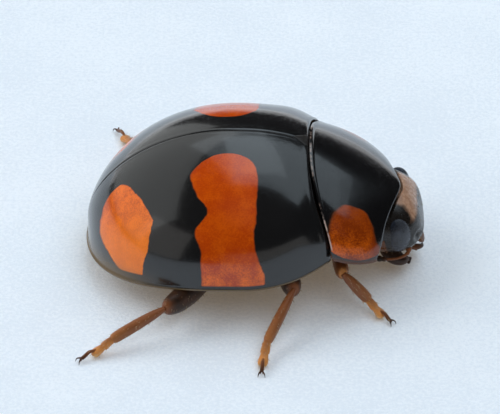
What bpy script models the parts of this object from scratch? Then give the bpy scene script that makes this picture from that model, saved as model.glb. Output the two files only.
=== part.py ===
# Ladybird beetle, life size, standing at rest.
# +X runs to the head, +Y to the animal's left, +Z up from the floor; lengths below are millimetres.
import math

import bmesh
import bpy
from mathutils import Vector

mm = 0.001

clearance = 0.05          # between neighbouring solids
shellThickness = 0.5      # wing cases
shieldThickness = 0.45    # pronotum

# wing cases, seen from above
rearTip = -3.32
widestAt = -0.30
halfWidth = 2.47
frontReach = 2.60         # from the widest place to where the front curve would close
rearPowers = (2.42, 1.97)
frontPowers = (2.05, 2.0)
# wing cases, seen from the side
marginHeight = 0.95
marginRise = 0.35         # gained towards the head over marginRiseRun
marginRiseRun = 1.90
marginDip = 0.40          # lost towards the tail over marginDipRun
marginDipRun = 2.77
crestAt = -0.38
crestRise = 2.05
crestFrontReach = 2.60
crestRearPowers = (2.05, 1.68)
crestFrontPowers = (2.35, 1.85)
roundness = 0.96          # below 1 the cross-section is a little fuller than an ellipse

# seam between wing cases and pronotum
seamAtMidline = 1.01
seamSweep = 0.45          # the seam runs forward this much towards the sides
seamPower = 2.9

# pronotum
shieldFront = 2.80
shieldEmargination = 0.36 # the front edge draws back this much at the corners
shieldCorner = 0.10       # the lower front corners are rounded back this much
shieldCornerPower = 40
shieldHalfWidth = 1.965
shieldWidestAt = 1.645
shieldReach = 1.27
shieldPower = 2.18
shieldCrest = (2.555, 0.557, 0.024)   # height at x = 1.4, then its fall per mm and per mm squared
shieldMargin = (1.34, 0.247)          # height of the side edge at x = 1.4, and its fall per mm

# head and eyes
headCentre = Vector((2.48, 0.0, 1.12))
headHalf = Vector((0.77, 1.04, 0.71))
headRear = 0.50
headPower = 2.6
headLean = 0.15           # the face leans forward towards the mouth
eyeCentre = Vector((2.76, 0.91, 1.17))
eyeHalf = Vector((0.23, 0.20, 0.37))

# trunk
bellyDepth = 0.33
chestDepth = 0.62
waist = -0.65             # between thorax and abdomen
collar = 1.17             # between thorax and prothorax
neck = 1.90

# legs: root in the trunk, a bend under the wing case, knee, ankle and claw end, for one side (y outwards)
legPoints = {
    "front_right": [(1.55, 0.72, 0.74), (1.62, 1.35, 0.80), (1.69, 1.83, 0.86), (2.19, 1.86, 0.32), (2.63, 2.24, 0.17)],
    "mid_right": [(0.45, 0.85, 0.66), (0.62, 1.65, 0.70), (0.74, 2.32, 0.78), (0.24, 3.22, 0.32), (0.14, 3.90, 0.17)],
    "hind_right": [(-0.85, 0.85, 0.60), (-1.28, 1.98, 0.54), (-1.74, 2.64, 0.62), (-2.76, 3.24, 0.32), (-3.38, 3.58, 0.17)],
    "front_left": [(1.55, 0.72, 0.74), (1.58, 1.35, 0.80), (1.60, 1.83, 0.86), (1.98, 2.06, 0.32), (2.36, 2.52, 0.17)],
    "mid_left": [(0.45, 0.85, 0.66), (0.62, 1.60, 0.70), (0.72, 2.22, 0.80), (0.42, 3.28, 0.32), (0.46, 3.95, 0.17)],
    "hind_left": [(-0.85, 0.85, 0.60), (-1.34, 2.00, 0.54), (-1.70, 2.60, 0.62), (-2.58, 3.46, 0.32), (-2.91, 4.19, 0.17)],
}
femurRadii = (0.27, 0.27, 0.21)
tibiaRadii = (0.20, 0.24, 0.24)
tarsusRadii = (0.22, 0.25, 0.22)

wingBlack = (0.010, 0.010, 0.012)
darkBrown = (0.030, 0.014, 0.008)
legBrown = (0.110, 0.035, 0.012)
footTan = (0.300, 0.120, 0.030)
eyeGrey = (0.045, 0.048, 0.065)


def clearScene():
    for old in list(bpy.data.objects):
        bpy.data.objects.remove(old, do_unlink=True)


def newCollection(name):
    made = bpy.data.collections.new(name)
    bpy.context.scene.collection.children.link(made)
    return made


def paint(piece, colour, roughness):
    material = bpy.data.materials.new(piece.name)
    material.use_nodes = True
    shader = material.node_tree.nodes["Principled BSDF"]
    shader.inputs["Base Color"].default_value = (*colour, 1.0)
    shader.inputs["Roughness"].default_value = roughness
    shader.inputs["Metallic"].default_value = 0.0
    piece.data.materials.append(material)


def addPiece(name, mesh, colour=None, roughness=0.3):
    # a piece with no colour is a cutter
    piece = bpy.data.objects.new(name, mesh)
    if colour is None:
        cutterCollection.objects.link(piece)
        piece.hide_render = True
        piece.display_type = "WIRE"
    else:
        partCollection.objects.link(piece)
        paint(piece, colour, roughness)
    piece.parent = base
    return piece


def finishMesh(name, working):
    working.normal_update()
    bmesh.ops.recalc_face_normals(working, faces=working.faces)
    bmesh.ops.scale(working, vec=(mm, mm, mm), verts=working.verts)
    mesh = bpy.data.meshes.new(name)
    working.to_mesh(mesh)
    working.free()
    mesh.shade_smooth()
    mesh.set_sharp_from_angle(angle=math.radians(40))
    return mesh


def carve(piece, cutters):
    for cutter in cutters:
        cut = piece.modifiers.new("clear of " + cutter.name, "BOOLEAN")
        cut.operation = "DIFFERENCE"
        cut.solver = "EXACT"
        cut.object = cutter


def arch(t, powers):
    return max(0.0, 1.0 - abs(t) ** powers[0]) ** (1.0 / powers[1])


def spread(first, last, count):
    return [first + (last - first) * i / (count - 1) for i in range(count)]


# wing case surface

def wingHalfWidth(x):
    if x < widestAt:
        return halfWidth * arch((x - widestAt) / (widestAt - rearTip), rearPowers)
    return halfWidth * arch((x - widestAt) / frontReach, frontPowers)


def wingMargin(x):
    rise = marginRise * (max(0.0, x - widestAt) / marginRiseRun) ** 2
    dip = marginDip * (max(0.0, widestAt - x) / marginDipRun) ** 2
    return marginHeight + rise - dip


def wingCrest(x):
    if x < crestAt:
        return marginHeight + crestRise * arch((x - crestAt) / (crestAt - rearTip), crestRearPowers)
    return marginHeight + crestRise * arch((x - crestAt) / crestFrontReach, crestFrontPowers)


def seamX(angle):
    return seamAtMidline + seamSweep * abs(math.sin(angle)) ** seamPower


def wingPoint(x, angle, inset=0.0, narrowest=0.0):
    # inset shrinks the dome about its front end and its margin plane, and never below narrowest of the full width
    front = seamX(angle)
    length = front - rearTip
    onFull = max(rearTip, front - (front - x) * length / (length - inset))
    sideways = wingHalfWidth(onFull) * (halfWidth - inset) / halfWidth
    sideways = max(sideways, wingHalfWidth(x) * narrowest)
    upwards = (wingCrest(onFull) - wingMargin(onFull)) * (crestRise - inset) / crestRise
    if onFull == rearTip:
        upwards = 0.0
    return Vector((x, sideways * math.sin(angle), wingMargin(x) + upwards * abs(math.cos(angle)) ** roundness))


# pronotum surface

def shieldEdge(angle):
    side = 1.0 - (1.0 - min(1.0, math.sin(angle) ** 2)) ** 1.8
    corner = shieldCorner * abs(math.sin(angle)) ** shieldCornerPower
    return shieldFront - shieldEmargination * side - corner


def shieldPoint(x, angle, inset=0.0):
    run = shieldReach if x > shieldWidestAt else 1.4
    width = shieldHalfWidth * arch((x - shieldWidestAt) / run, (shieldPower, 2.0)) - inset
    s = x - 1.4
    margin = shieldMargin[0] - shieldMargin[1] * s
    crest = shieldCrest[0] - shieldCrest[1] * s - shieldCrest[2] * s * s - inset
    return Vector((x, width * math.sin(angle), margin + (crest - margin) * abs(math.cos(angle))))


def loft(sections, archCaps=False):
    # skins closed sections of equal count; arch caps are strips across the wall, plain caps one flat face
    working = bmesh.new()
    rings = [[working.verts.new(p) for p in section] for section in sections]
    count = len(rings[0])
    for near, far in zip(rings, rings[1:]):
        for j in range(count):
            k = (j + 1) % count
            working.faces.new((near[j], near[k], far[k], far[j]))
    for ring in (rings[0], rings[-1]):
        if archCaps:
            for j in range(count // 2 - 1):
                working.faces.new((ring[j], ring[j + 1], ring[count - 2 - j], ring[count - 1 - j]))
        else:
            working.faces.new(ring)
    return working


def limb(name, points, radii, grow=0.0, colour=None, roughness=0.3):
    # a tapering tube along the points, flat at both ends; grow thickens and lengthens it
    points = [Vector(p) for p in points]
    points[0] += (points[0] - points[1]).normalized() * grow
    points[-1] += (points[-1] - points[-2]).normalized() * grow
    curve = bpy.data.curves.new(name, "CURVE")
    curve.dimensions = "3D"
    curve.bevel_depth = mm
    curve.bevel_resolution = 3
    curve.use_fill_caps = True
    spline = curve.splines.new("POLY")
    spline.points.add(len(points) - 1)
    for knot, point, radius in zip(spline.points, points, radii):
        knot.co = (*(point * mm), 1.0)
        knot.radius = radius + grow
    guide = bpy.data.objects.new(name + "_path", curve)
    bpy.context.scene.collection.objects.link(guide)
    bpy.context.view_layer.update()
    mesh = bpy.data.meshes.new_from_object(guide.evaluated_get(bpy.context.evaluated_depsgraph_get()))
    mesh.name = name
    bpy.data.objects.remove(guide, do_unlink=True)
    working = bmesh.new()
    working.from_mesh(mesh)
    bmesh.ops.remove_doubles(working, verts=working.verts, dist=0.001 * mm)
    bmesh.ops.recalc_face_normals(working, faces=working.faces)
    working.to_mesh(mesh)
    working.free()
    return addPiece(name, mesh, colour, roughness)


def ball(name, centre, half, grow=0.0, shape=None, colour=None, roughness=0.3, segments=20):
    working = bmesh.new()
    bmesh.ops.create_uvsphere(working, u_segments=segments, v_segments=segments // 2 + 1, radius=1.0)
    for vert in working.verts:
        unit = shape(vert.co) if shape else vert.co
        vert.co = Vector([c + u * (h + grow) for c, u, h in zip(centre, unit, half)])
    return addPiece(name, finishMesh(name, working), colour, roughness)


def buildElytron(side, name):
    # sections run from the seam down to the margin, then back under the shell
    angles = [math.radians(a) for a in range(0, 91, 10)]
    stations = [1.0 - math.cos(u * math.pi / 2) for u in spread(0.0, 1.0, 18)]
    skins = []
    for inset in (0.0, shellThickness):
        skin = []
        for s in stations:
            row = []
            for angle in angles:
                start, end = rearTip + 0.01, seamX(angle) - clearance / 2
                point = wingPoint(start + (end - start) * s, angle, inset, 0.55)
                row.append(Vector((point.x, side * max(point.y, clearance / 2), point.z)))
            skin.append(row)
        skins.append(skin)
    sections = [over + under[::-1] for over, under in zip(*skins)]
    return addPiece(name, finishMesh(name, loft(sections, True)), wingBlack, 0.12)


def buildScutellum():
    # a three-sided plate let into the front of the two wing cases, point to the rear
    length, half, depth = 0.30, 0.22, 0.42
    top = wingCrest(seamAtMidline - length / 2)
    made = []
    for name, grow, colour in (("scutellum", 0.0, wingBlack), ("scutellum_seat", clearance, None)):
        working = bmesh.new()
        bmesh.ops.create_cone(working, cap_ends=True, segments=3, radius1=1.0, radius2=1.0, depth=1.0)
        for vert in working.verts:
            ahead = math.atan2(vert.co.y, vert.co.x)
            corner = round(ahead / (2 * math.pi / 3)) % 3
            back = seamAtMidline - clearance / 2
            x = back - length - 2 * grow if corner == 0 else back + 4 * grow
            y = 0.0 if corner == 0 else (half + 3 * grow) * (1 if corner == 1 else -1)
            slope = (wingCrest(x) - top) if grow == 0.0 else 0.0
            z = top + slope + (4 * grow) if vert.co.z > 0 else top + slope - depth - 4 * grow
            vert.co = (x, y, z)
        made.append(addPiece(name, finishMesh(name, working), colour, 0.15))
    return made


def buildPronotum(name, grow, colour, outset=0.0):
    # an arched shield; sections follow the seam, then straighten towards the front edge
    angles = [math.radians(a) for a in range(-90, 91, 10)]
    skins = []
    for inset in (-outset, shieldThickness + grow):
        skin = []
        for s in spread(0.0, 1.0, 9):
            row = []
            for angle in angles:
                start, end = seamX(angle) + clearance / 2 - grow, shieldEdge(angle) + grow
                point = shieldPoint(start + (end - start) * s, angle, inset)
                point.z -= grow * abs(math.sin(angle))
                row.append(point)
            skin.append(row)
        skins.append(skin)
    sections = [over + under[::-1] for over, under in zip(*skins)]
    return addPiece(name, finishMesh(name, loft(sections, True)), colour, 0.12)


def headShape(unit):
    # squarer than a sphere from above, short behind, leaning forward below
    flat = math.hypot(unit.x, unit.y)
    if flat > 1e-6:
        c, s = abs(unit.x) / flat, abs(unit.y) / flat
        flat /= (c ** headPower + s ** headPower) ** (1.0 / headPower)
        x = math.copysign(c * flat, unit.x)
        y = math.copysign(s * flat, unit.y)
    else:
        x = y = 0.0
    if x < 0:
        x *= headRear / headHalf.x
    return Vector((x - headLean * unit.z, y, unit.z))


def trunkSection(x, topPoint, depth, columns=12):
    # over the back along the given surface, then round under the belly
    over = [topPoint(x, angle) for angle in spread(-math.pi / 2, math.pi / 2, columns)]
    width, margin = over[-1].y, over[-1].z
    under = []
    for angle in spread(math.pi / 2, -math.pi / 2, columns)[1:-1]:
        under.append(Vector((over[-1].x, width * math.sin(angle), margin - depth * math.cos(angle))))
    for point in over + under:
        point.x = x
    return over + under


def buildTrunk(name, stations, topPoint, depthAt, colour):
    sections = [trunkSection(x, topPoint, depthAt(x)) for x in stations]
    return addPiece(name, finishMesh(name, loft(sections)), colour, 0.35)


def underWings(x, angle):
    return wingPoint(x, angle, shellThickness + 1.4 * clearance)


def underShield(x, angle):
    return shieldPoint(x, angle, shieldThickness + 2.5 * clearance)


def wingRoom(x):
    # how deep the belly hangs below the margin, fading to the tail
    return bellyDepth * (wingHalfWidth(x) / halfWidth) ** 0.7 + max(0.0, wingMargin(x) - marginHeight)


def buildTrunkPieces():
    abdomen = buildTrunk("abdomen", spread(rearTip + 0.66, waist - clearance / 2, 9), underWings, wingRoom, darkBrown)
    thorax = buildTrunk("thorax", spread(waist + clearance / 2, collar - clearance / 2, 6), underWings, wingRoom,
                        darkBrown)
    prothorax = buildTrunk("prothorax", spread(collar + clearance / 2, neck, 4), underShield, lambda x: chestDepth,
                           darkBrown)
    return prothorax, thorax, abdomen


def buildLegs(prothorax, thorax, abdomen):
    slab = bmesh.new()
    bmesh.ops.create_cube(slab, size=1.0)
    for vert in slab.verts:
        vert.co = (vert.co.x * 12, vert.co.y * 12, -0.5 + vert.co.z)
    floorSlab = addPiece("floor_slab", finishMesh("floor_slab", slab))
    trunkFor = {"front": [prothorax], "mid": [thorax], "hind": [thorax, abdomen]}
    for where, points in legPoints.items():
        sideSign = -1 if where.endswith("right") else 1
        root, bend, knee, ankle, claw = [Vector((x, sideSign * y, z)) for x, y, z in points]
        name = "leg_" + where
        shin = knee.lerp(ankle, 0.5)
        foot = ankle.lerp(claw, 0.5)
        foot.z = claw.z + 0.01
        heel = ankle + (ankle - knee).normalized() * 0.02
        limb(name + "_femur", (root, bend, knee), femurRadii, 0.0, darkBrown, 0.3)
        femurRoom = limb(name + "_femur_room", (root, bend, knee), femurRadii, clearance)
        tibia = limb(name + "_tibia", (knee, shin, ankle), tibiaRadii, 0.0, legBrown, 0.35)
        tibiaRoom = limb(name + "_tibia_room", (knee, shin, ankle), tibiaRadii, clearance)
        tarsus = limb(name + "_tarsus", (heel, foot, claw), tarsusRadii, 0.0, footTan, 0.4)
        carve(tibia, [femurRoom])
        carve(tarsus, [tibiaRoom, floorSlab])
        for trunk in trunkFor[where.split("_")[0]]:
            carve(trunk, [femurRoom])


def buildHead():
    head = ball("head", headCentre, headHalf, 0.0, headShape, wingBlack, 0.2, 24)
    headRoom = ball("head_room", headCentre, headHalf, clearance, headShape, None, 0.3, 24)
    carve(head, [buildPronotum("pronotum_room", clearance, None, 1.2)])
    for sideSign, side in ((-1, "right"), (1, "left")):
        centre = Vector((eyeCentre.x, sideSign * eyeCentre.y, eyeCentre.z))
        ball("eye_" + side, centre, eyeHalf, 0.0, None, eyeGrey, 0.15, 16)
        carve(head, [ball("eye_" + side + "_socket", centre, eyeHalf, clearance, None, None, 0.3, 16)])
        antenna = limb("antenna_" + side,
                       [(2.90, sideSign * 0.80, 0.60), (2.56, sideSign * 1.02, 0.50), (2.16, sideSign * 1.12, 0.54)],
                       (0.20, 0.21, 0.25), 0.0, legBrown, 0.4)
        palp = limb("palp_" + side,
                    [(2.58, sideSign * 0.46, 0.36), (2.84, sideSign * 0.56, 0.31), (3.04, sideSign * 0.58, 0.30)],
                    (0.20, 0.20, 0.23), 0.0, legBrown, 0.4)
        carve(antenna, [headRoom])
        carve(palp, [headRoom])
    jaws = ball("jaws", Vector((3.06, 0.0, 0.44)), Vector((0.24, 0.28, 0.24)), 0.0, None, darkBrown, 0.3, 16)
    carve(jaws, [headRoom])


def standOnOrigin():
    # slides the whole animal so that the origin is under the middle of its box
    bpy.context.view_layer.update()
    graph = bpy.context.evaluated_depsgraph_get()
    corners = []
    for piece in partCollection.objects:
        if piece.type != "MESH":
            continue
        made = piece.evaluated_get(graph).to_mesh()
        corners += [piece.matrix_world @ vert.co for vert in made.vertices]
    for axis in (0, 1):
        values = [corner[axis] for corner in corners]
        base.location[axis] = -(min(values) + max(values)) / 2


clearScene()
partCollection = newCollection("ladybird")
cutterCollection = newCollection("ladybird_cutters")
base = bpy.data.objects.new("ladybird_base", None)
partCollection.objects.link(base)

plate, plateSeat = buildScutellum()
for sideSign, side in ((-1, "right"), (1, "left")):
    carve(buildElytron(sideSign, "elytron_" + side), [plateSeat])
buildPronotum("pronotum", 0.0, wingBlack)
buildHead()
buildLegs(*buildTrunkPieces())
standOnOrigin()
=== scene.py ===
import math

import bmesh
import bpy
import numpy as np
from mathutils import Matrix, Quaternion, Vector


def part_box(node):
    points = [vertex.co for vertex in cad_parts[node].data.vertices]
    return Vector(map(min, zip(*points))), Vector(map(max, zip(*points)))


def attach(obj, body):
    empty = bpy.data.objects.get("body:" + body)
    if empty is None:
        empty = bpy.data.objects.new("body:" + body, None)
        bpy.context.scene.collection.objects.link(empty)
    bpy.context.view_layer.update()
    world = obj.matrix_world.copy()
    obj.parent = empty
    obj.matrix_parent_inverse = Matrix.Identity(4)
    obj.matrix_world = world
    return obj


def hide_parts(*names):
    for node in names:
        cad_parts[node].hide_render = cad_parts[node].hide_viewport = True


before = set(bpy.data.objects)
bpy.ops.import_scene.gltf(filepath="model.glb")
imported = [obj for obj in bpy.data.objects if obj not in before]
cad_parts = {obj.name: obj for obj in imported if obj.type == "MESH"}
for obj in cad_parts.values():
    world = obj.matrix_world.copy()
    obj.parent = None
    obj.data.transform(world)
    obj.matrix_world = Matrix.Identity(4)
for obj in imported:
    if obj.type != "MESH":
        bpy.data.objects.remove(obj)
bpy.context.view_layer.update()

mm = 0.001
halfTurn = math.pi
quarterTurn = math.pi / 2
scene = bpy.context.scene


class Value:
    # one output socket; arithmetic on it adds Math nodes to its tree
    def __init__(self, graph, socket):
        self.graph = graph
        self.socket = socket

    def out(self, name):
        return Value(self.graph, self.socket.node.outputs[name])

    def __add__(self, other):
        return self.graph.maths("ADD", self, other)

    def __sub__(self, other):
        return self.graph.maths("SUBTRACT", self, other)

    def __rsub__(self, other):
        return self.graph.maths("SUBTRACT", other, self)

    def __mul__(self, other):
        return self.graph.maths("MULTIPLY", self, other)

    def __truediv__(self, other):
        return self.graph.maths("DIVIDE", self, other)

    def __rtruediv__(self, other):
        return self.graph.maths("DIVIDE", other, self)

    def __pow__(self, other):
        return self.graph.maths("POWER", self, other)

    def __neg__(self):
        return self.graph.maths("MULTIPLY", self, -1.0)

    def __abs__(self):
        return self.graph.maths("ABSOLUTE", self)

    __radd__ = __add__
    __rmul__ = __mul__


class Graph:
    # a shader or geometry node tree, built in code
    def __init__(self, tree):
        self.tree = tree
        tree.nodes.clear()

    def node(self, kind, settings=None, sockets=None, give=0):
        # settings come first, because some of them change which sockets there are
        made = self.tree.nodes.new(kind)
        for name, value in (settings or {}).items():
            if name == "stops":
                self.setStops(made.color_ramp, value)
            else:
                setattr(made, name, value)
        for name, value in (sockets or {}).items():
            if isinstance(value, Value):
                self.tree.links.new(value.socket, made.inputs[name])
            else:
                made.inputs[name].default_value = value
        return Value(self, made.outputs[give]) if made.outputs else None

    def setStops(self, ramp, stops):
        while len(ramp.elements) < len(stops):
            ramp.elements.new(1.0)
        for element, (position, colour) in zip(ramp.elements, stops):
            element.position = position
            element.color = colour

    def maths(self, operation, *values):
        return self.node("ShaderNodeMath", {"operation": operation}, dict(enumerate(values)))

    def mix(self, share, first, second):
        # of two colours
        return self.node("ShaderNodeMix", {"data_type": "RGBA"}, {0: share, 6: first, 7: second}, 2)

    def vector(self, *parts):
        return self.node("ShaderNodeCombineXYZ", None, dict(enumerate(parts)))

    def position(self):
        return self.node("ShaderNodeSeparateXYZ", None, {0: self.node("GeometryNodeInputPosition")})

    def stored(self, geometry, label, value, kind="FLOAT"):
        return self.node("GeometryNodeStoreNamedAttribute", {"data_type": kind, "domain": "POINT"},
                         {"Geometry": geometry, "Name": label, "Value": value})

    def named(self, label, kind="FLOAT"):
        # what an earlier step stored on the mesh, in a geometry tree
        return self.node("GeometryNodeInputNamedAttribute", {"data_type": kind}, {"Name": label})

    def attribute(self, name):
        # the same in a shader
        return self.node("ShaderNodeAttribute", {"attribute_name": name}, give="Fac")

    def objectPlace(self):
        return self.node("ShaderNodeTexCoord", give="Object")

    def noise(self, place, scale, detail=3.0, roughness=0.5):
        # scale is in cells per millimetre
        return self.node("ShaderNodeTexNoise", None,
                         {"Vector": place, "Scale": scale / mm, "Detail": detail, "Roughness": roughness})

    def cells(self, place, scale):
        return self.node("ShaderNodeTexVoronoi", None, {"Vector": place, "Scale": scale / mm})

    def bump(self, height, depth, strength=1.0, under=None):
        sockets = {"Height": height, "Distance": depth * mm, "Strength": strength}
        if under:
            sockets["Normal"] = under
        return self.node("ShaderNodeBump", None, sockets)


def onEither(operation, inNumbers, *values):
    # the same formula serves numbers, arrays and node values
    graphs = [value.graph for value in values if isinstance(value, Value)]
    return graphs[0].maths(operation, *values) if graphs else inNumbers(*values)


def most(a, b):
    return onEither("MAXIMUM", np.maximum, a, b)


def least(a, b):
    return onEither("MINIMUM", np.minimum, a, b)


def sine(a):
    return onEither("SINE", np.sin, a)


def cosine(a):
    return onEither("COSINE", np.cos, a)


def hump(t):
    # 1 at t = 0, dying away by |t| = 2
    return onEither("EXPONENT", np.exp, -1.0 * t * t)


def ease(value, low, high):
    # 0 at low, 1 at high, smooth between
    t = least(most((value - low) / (high - low), 0.0), 1.0)
    return t * t * (3.0 - 2.0 * t)


def arch(t, power, root):
    return most(1.0 - abs(t) ** power, 0.0) ** (1.0 / root)


def principled(name, build):
    # build gives the shader's sockets, from a fresh graph
    material = bpy.data.materials.new(name)
    material.use_nodes = True
    graph = Graph(material.node_tree)
    shader = graph.node("ShaderNodeBsdfPrincipled", None, build(graph))
    graph.node("ShaderNodeOutputMaterial", None, {"Surface": shader})
    return material


def newTree(name, sizes):
    # a geometry tree with one named input for each size
    tree = bpy.data.node_groups.new(name, "GeometryNodeTree")
    tree.interface.new_socket("Geometry", in_out="INPUT", socket_type="NodeSocketGeometry")
    tree.interface.new_socket("Geometry", in_out="OUTPUT", socket_type="NodeSocketGeometry")
    for label, value in sizes.items():
        kind = "NodeSocketInt" if isinstance(value, int) else "NodeSocketFloat"
        tree.interface.new_socket(label, in_out="INPUT", socket_type=kind).default_value = value
    graph = Graph(tree)
    entry = graph.node("NodeGroupInput")
    return graph, entry, {label: entry.out(label) for label in sizes}


def endTree(graph, geometry, material):
    realized = graph.node("GeometryNodeRealizeInstances", None, {"Geometry": geometry})
    painted = graph.node("GeometryNodeSetMaterial", None, {"Geometry": realized, "Material": material})
    graph.node("NodeGroupOutput", None, {"Geometry": painted})


def runTree(name, graph, sizes, source=None):
    # the tree's result as an object with a plain mesh
    mesh = source.copy() if source else bpy.data.meshes.new(name)
    worker = bpy.data.objects.new(name + "Worker", mesh)
    scene.collection.objects.link(worker)
    modifier = worker.modifiers.new(name, "NODES")
    modifier.node_group = graph.tree
    for item in graph.tree.interface.items_tree:
        if item.in_out == "INPUT" and item.name in sizes:
            modifier[item.identifier] = sizes[item.name]
    bpy.context.view_layer.update()
    made = bpy.data.meshes.new_from_object(worker.evaluated_get(bpy.context.evaluated_depsgraph_get()))
    bpy.data.objects.remove(worker, do_unlink=True)
    return addObject(name, made)


def addObject(name, mesh, material=None):
    piece = bpy.data.objects.new(name, mesh)
    scene.collection.objects.link(piece)
    mesh.name = name
    if material:
        mesh.materials.append(material)
    return piece


def meshFrom(name, points, faces, material=None):
    # points are in body millimetres
    mesh = bpy.data.meshes.new(name)
    mesh.from_pydata([tuple(p) for p in inFrame(points)], [], [tuple(int(i) for i in f) for f in faces])
    mesh.shade_smooth()
    return addObject(name, mesh, material)


def setNumbers(mesh, name, values):
    layer = mesh.attributes.new(name, "FLOAT", "POINT")
    layer.data.foreach_set("value", np.asarray(values, np.float32).ravel())


def wear(piece, slot, *nodes):
    # the calls that every piece of the animal gets
    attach(piece, "root")
    if nodes:
        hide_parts(*nodes)
    return piece


# The animal's sizes are in body millimetres: x = 0 near the middle, y = 0 the plane of the seam, z = 0 the
# floor. Those of the lights, the camera and the floor are in metres.

wingCase = {
    "rearTip": -3.32,
    "widestAt": -0.30,
    "halfWidth": 2.47,
    "frontReach": 2.60,
    "rearPower": 2.42,
    "rearRoot": 1.97,
    "frontPower": 2.05,
    "frontRoot": 2.0,
    "marginHeight": 0.95,
    "marginRise": 0.35,
    "marginRiseRun": 1.90,
    "marginDip": 0.40,
    "marginDipRun": 2.77,
    "crestAt": -0.38,
    "crestRise": 2.05,
    "crestFrontReach": 2.60,
    "crestRearPower": 2.05,
    "crestRearRoot": 1.68,
    "crestFrontPower": 2.35,
    "crestFrontRoot": 1.85,
    "roundness": 0.96,
    "seamAtMidline": 1.01,
    "seamSweep": 0.45,
    "seamPower": 2.9,
    "jointGap": 0.02,
    "sutureGap": 0.006,
    "foldFrom": 0.90,        # share of the width where the shell turns under
    "foldShare": 0.20,       # how far it turns under, of the half width
    "foldLift": 0.10,
    "rimFlare": 0.016,
    "rimHeight": 0.035,
    "tailFlare": 1.2,        # how much wider the rim flares at the tail
    "ridgeHeight": 0.002,
    "ridgeAt": 0.05,         # from the suture
    "ridgeHalf": 0.04,
    "grooveDepth": 0.007,
    "grooveHalf": 0.014,
    "frontRoll": 0.010,
    "rollHalf": 0.022,
    "beadShare": 1.3,        # the bead behind the front edge, against the roll
    "beadAt": 0.055,
    "beadHalf": 0.024,
    "shoulder": 0.035,
    "shoulderAt": 0.72,
    "shoulderRun": 0.42,
    "shoulderTurn": 0.98,    # radians round from the suture
    "shoulderSpread": 0.36,
    "rows": 150,
    "columns": 130,
}
wallThickness = 0.14
wallEdge = 0.018             # rounding of the wall's edges
mergeWithin = 0.0005

leftLow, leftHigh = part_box("elytron_left")
rightLow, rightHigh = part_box("elytron_right")
bodyOrigin = np.array([leftLow.x / mm - wingCase["rearTip"] - 0.01, (leftHigh.y + rightLow.y) / 2 / mm, 0.0])


def inFrame(points):
    return (np.asarray(points, float) + bodyOrigin) * mm


def wingWidth(size, x):
    behind = most(size["widestAt"] - x, 0.0) / (size["widestAt"] - size["rearTip"])
    ahead = most(x - size["widestAt"], 0.0) / size["frontReach"]
    return (size["halfWidth"] * arch(behind, size["rearPower"], size["rearRoot"])
            * arch(ahead, size["frontPower"], size["frontRoot"]))


def wingMargin(size, x):
    rise = most(x - size["widestAt"], 0.0) / size["marginRiseRun"]
    dip = most(size["widestAt"] - x, 0.0) / size["marginDipRun"]
    return size["marginHeight"] + size["marginRise"] * rise ** 2.0 - size["marginDip"] * dip ** 2.0


def wingRise(size, x):
    # how far the crest stands above the margin
    behind = most(size["crestAt"] - x, 0.0) / (size["crestAt"] - size["rearTip"])
    ahead = most(x - size["crestAt"], 0.0) / size["crestFrontReach"]
    crest = (size["crestRise"] * arch(behind, size["crestRearPower"], size["crestRearRoot"])
             * arch(ahead, size["crestFrontPower"], size["crestFrontRoot"]))
    return size["marginHeight"] + crest - wingMargin(size, x)


def seamX(size, turn):
    return size["seamAtMidline"] + size["seamSweep"] * abs(sine(turn)) ** size["seamPower"]


def wingCasePoint(size, along, across):
    # along runs from the tail to the pronotum, across from the suture out to the margin and under it
    share = least(across / size["foldFrom"], 1.0)
    turn = quarterTurn * (share - 0.75 * sine(share * 2.0 * halfTurn) / (2.0 * halfTurn))
    fold = most(across - size["foldFrom"], 0.0) / (1.0 - size["foldFrom"])
    front = seamX(size, turn) - size["jointGap"] / 2.0
    x = size["rearTip"] + (front - size["rearTip"]) * (1.0 - cosine(along * quarterTurn))
    width = wingWidth(size, x)
    rise = wingRise(size, x)
    height = rise * abs(cosine(turn)) ** size["roundness"]
    taper = width / size["halfWidth"]
    bulge = size["shoulder"] * hump((x - size["shoulderAt"]) / size["shoulderRun"])
    bulge = 1.0 + bulge * hump((turn - size["shoulderTurn"]) / size["shoulderSpread"])
    y = width * sine(turn) * bulge
    z = wingMargin(size, x) + height * bulge
    fromTail = ((x - size["rearTip"]) ** 2.0 + y ** 2.0 + height ** 2.0) ** 0.5
    rimGap = least(size["crestRise"] * (quarterTurn - turn) * (0.25 + 0.75 * taper), fromTail)
    marks = {"lengthwise": x, "around": turn, "fold": fold, "rimGap": rimGap,
             "frontGap": front - x, "sutureSide": y}
    # the strip under the rim lies square to it: forwards at the tail, inwards along the side
    strip = size["halfWidth"] * size["foldShare"] * fold * (0.45 + 0.55 * taper)
    behind = ease(x, size["widestAt"], size["widestAt"] - 0.3)
    y = y - strip * taper + size["sutureGap"]
    x = x + strip * behind * most(1.0 - taper * taper, 0.0) ** 0.5
    z = z + (size["foldLift"] * fold - 0.03 * sine(fold * halfTurn)) * (0.3 + 0.7 * taper)
    return (x, y, z), marks


def wingCaseRelief(size, mark):
    flare = size["rimFlare"] * hump(mark("rimGap") / size["rimHeight"])
    onTop = 1.0 - mark("fold")
    ridge = size["ridgeHeight"] * hump((mark("sutureSide") - size["ridgeAt"]) / size["ridgeHalf"]) * onTop
    groove = size["grooveDepth"] * hump(mark("sutureSide") / size["grooveHalf"]) * onTop
    roll = size["frontRoll"] * hump(mark("frontGap") / size["rollHalf"])
    onBead = hump((mark("frontGap") - size["beadAt"]) / size["beadHalf"])
    bead = size["beadShare"] * size["frontRoll"] * onBead
    x = mark("lengthwise")
    flare = flare * (1.0 + size["tailFlare"] * ease(x, -1.0, -2.6))
    clearOfTail = ease(x, size["rearTip"] + 0.01, size["rearTip"] + 0.35)
    return flare + (ridge - groove) * clearOfTail - roll + bead


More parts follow.
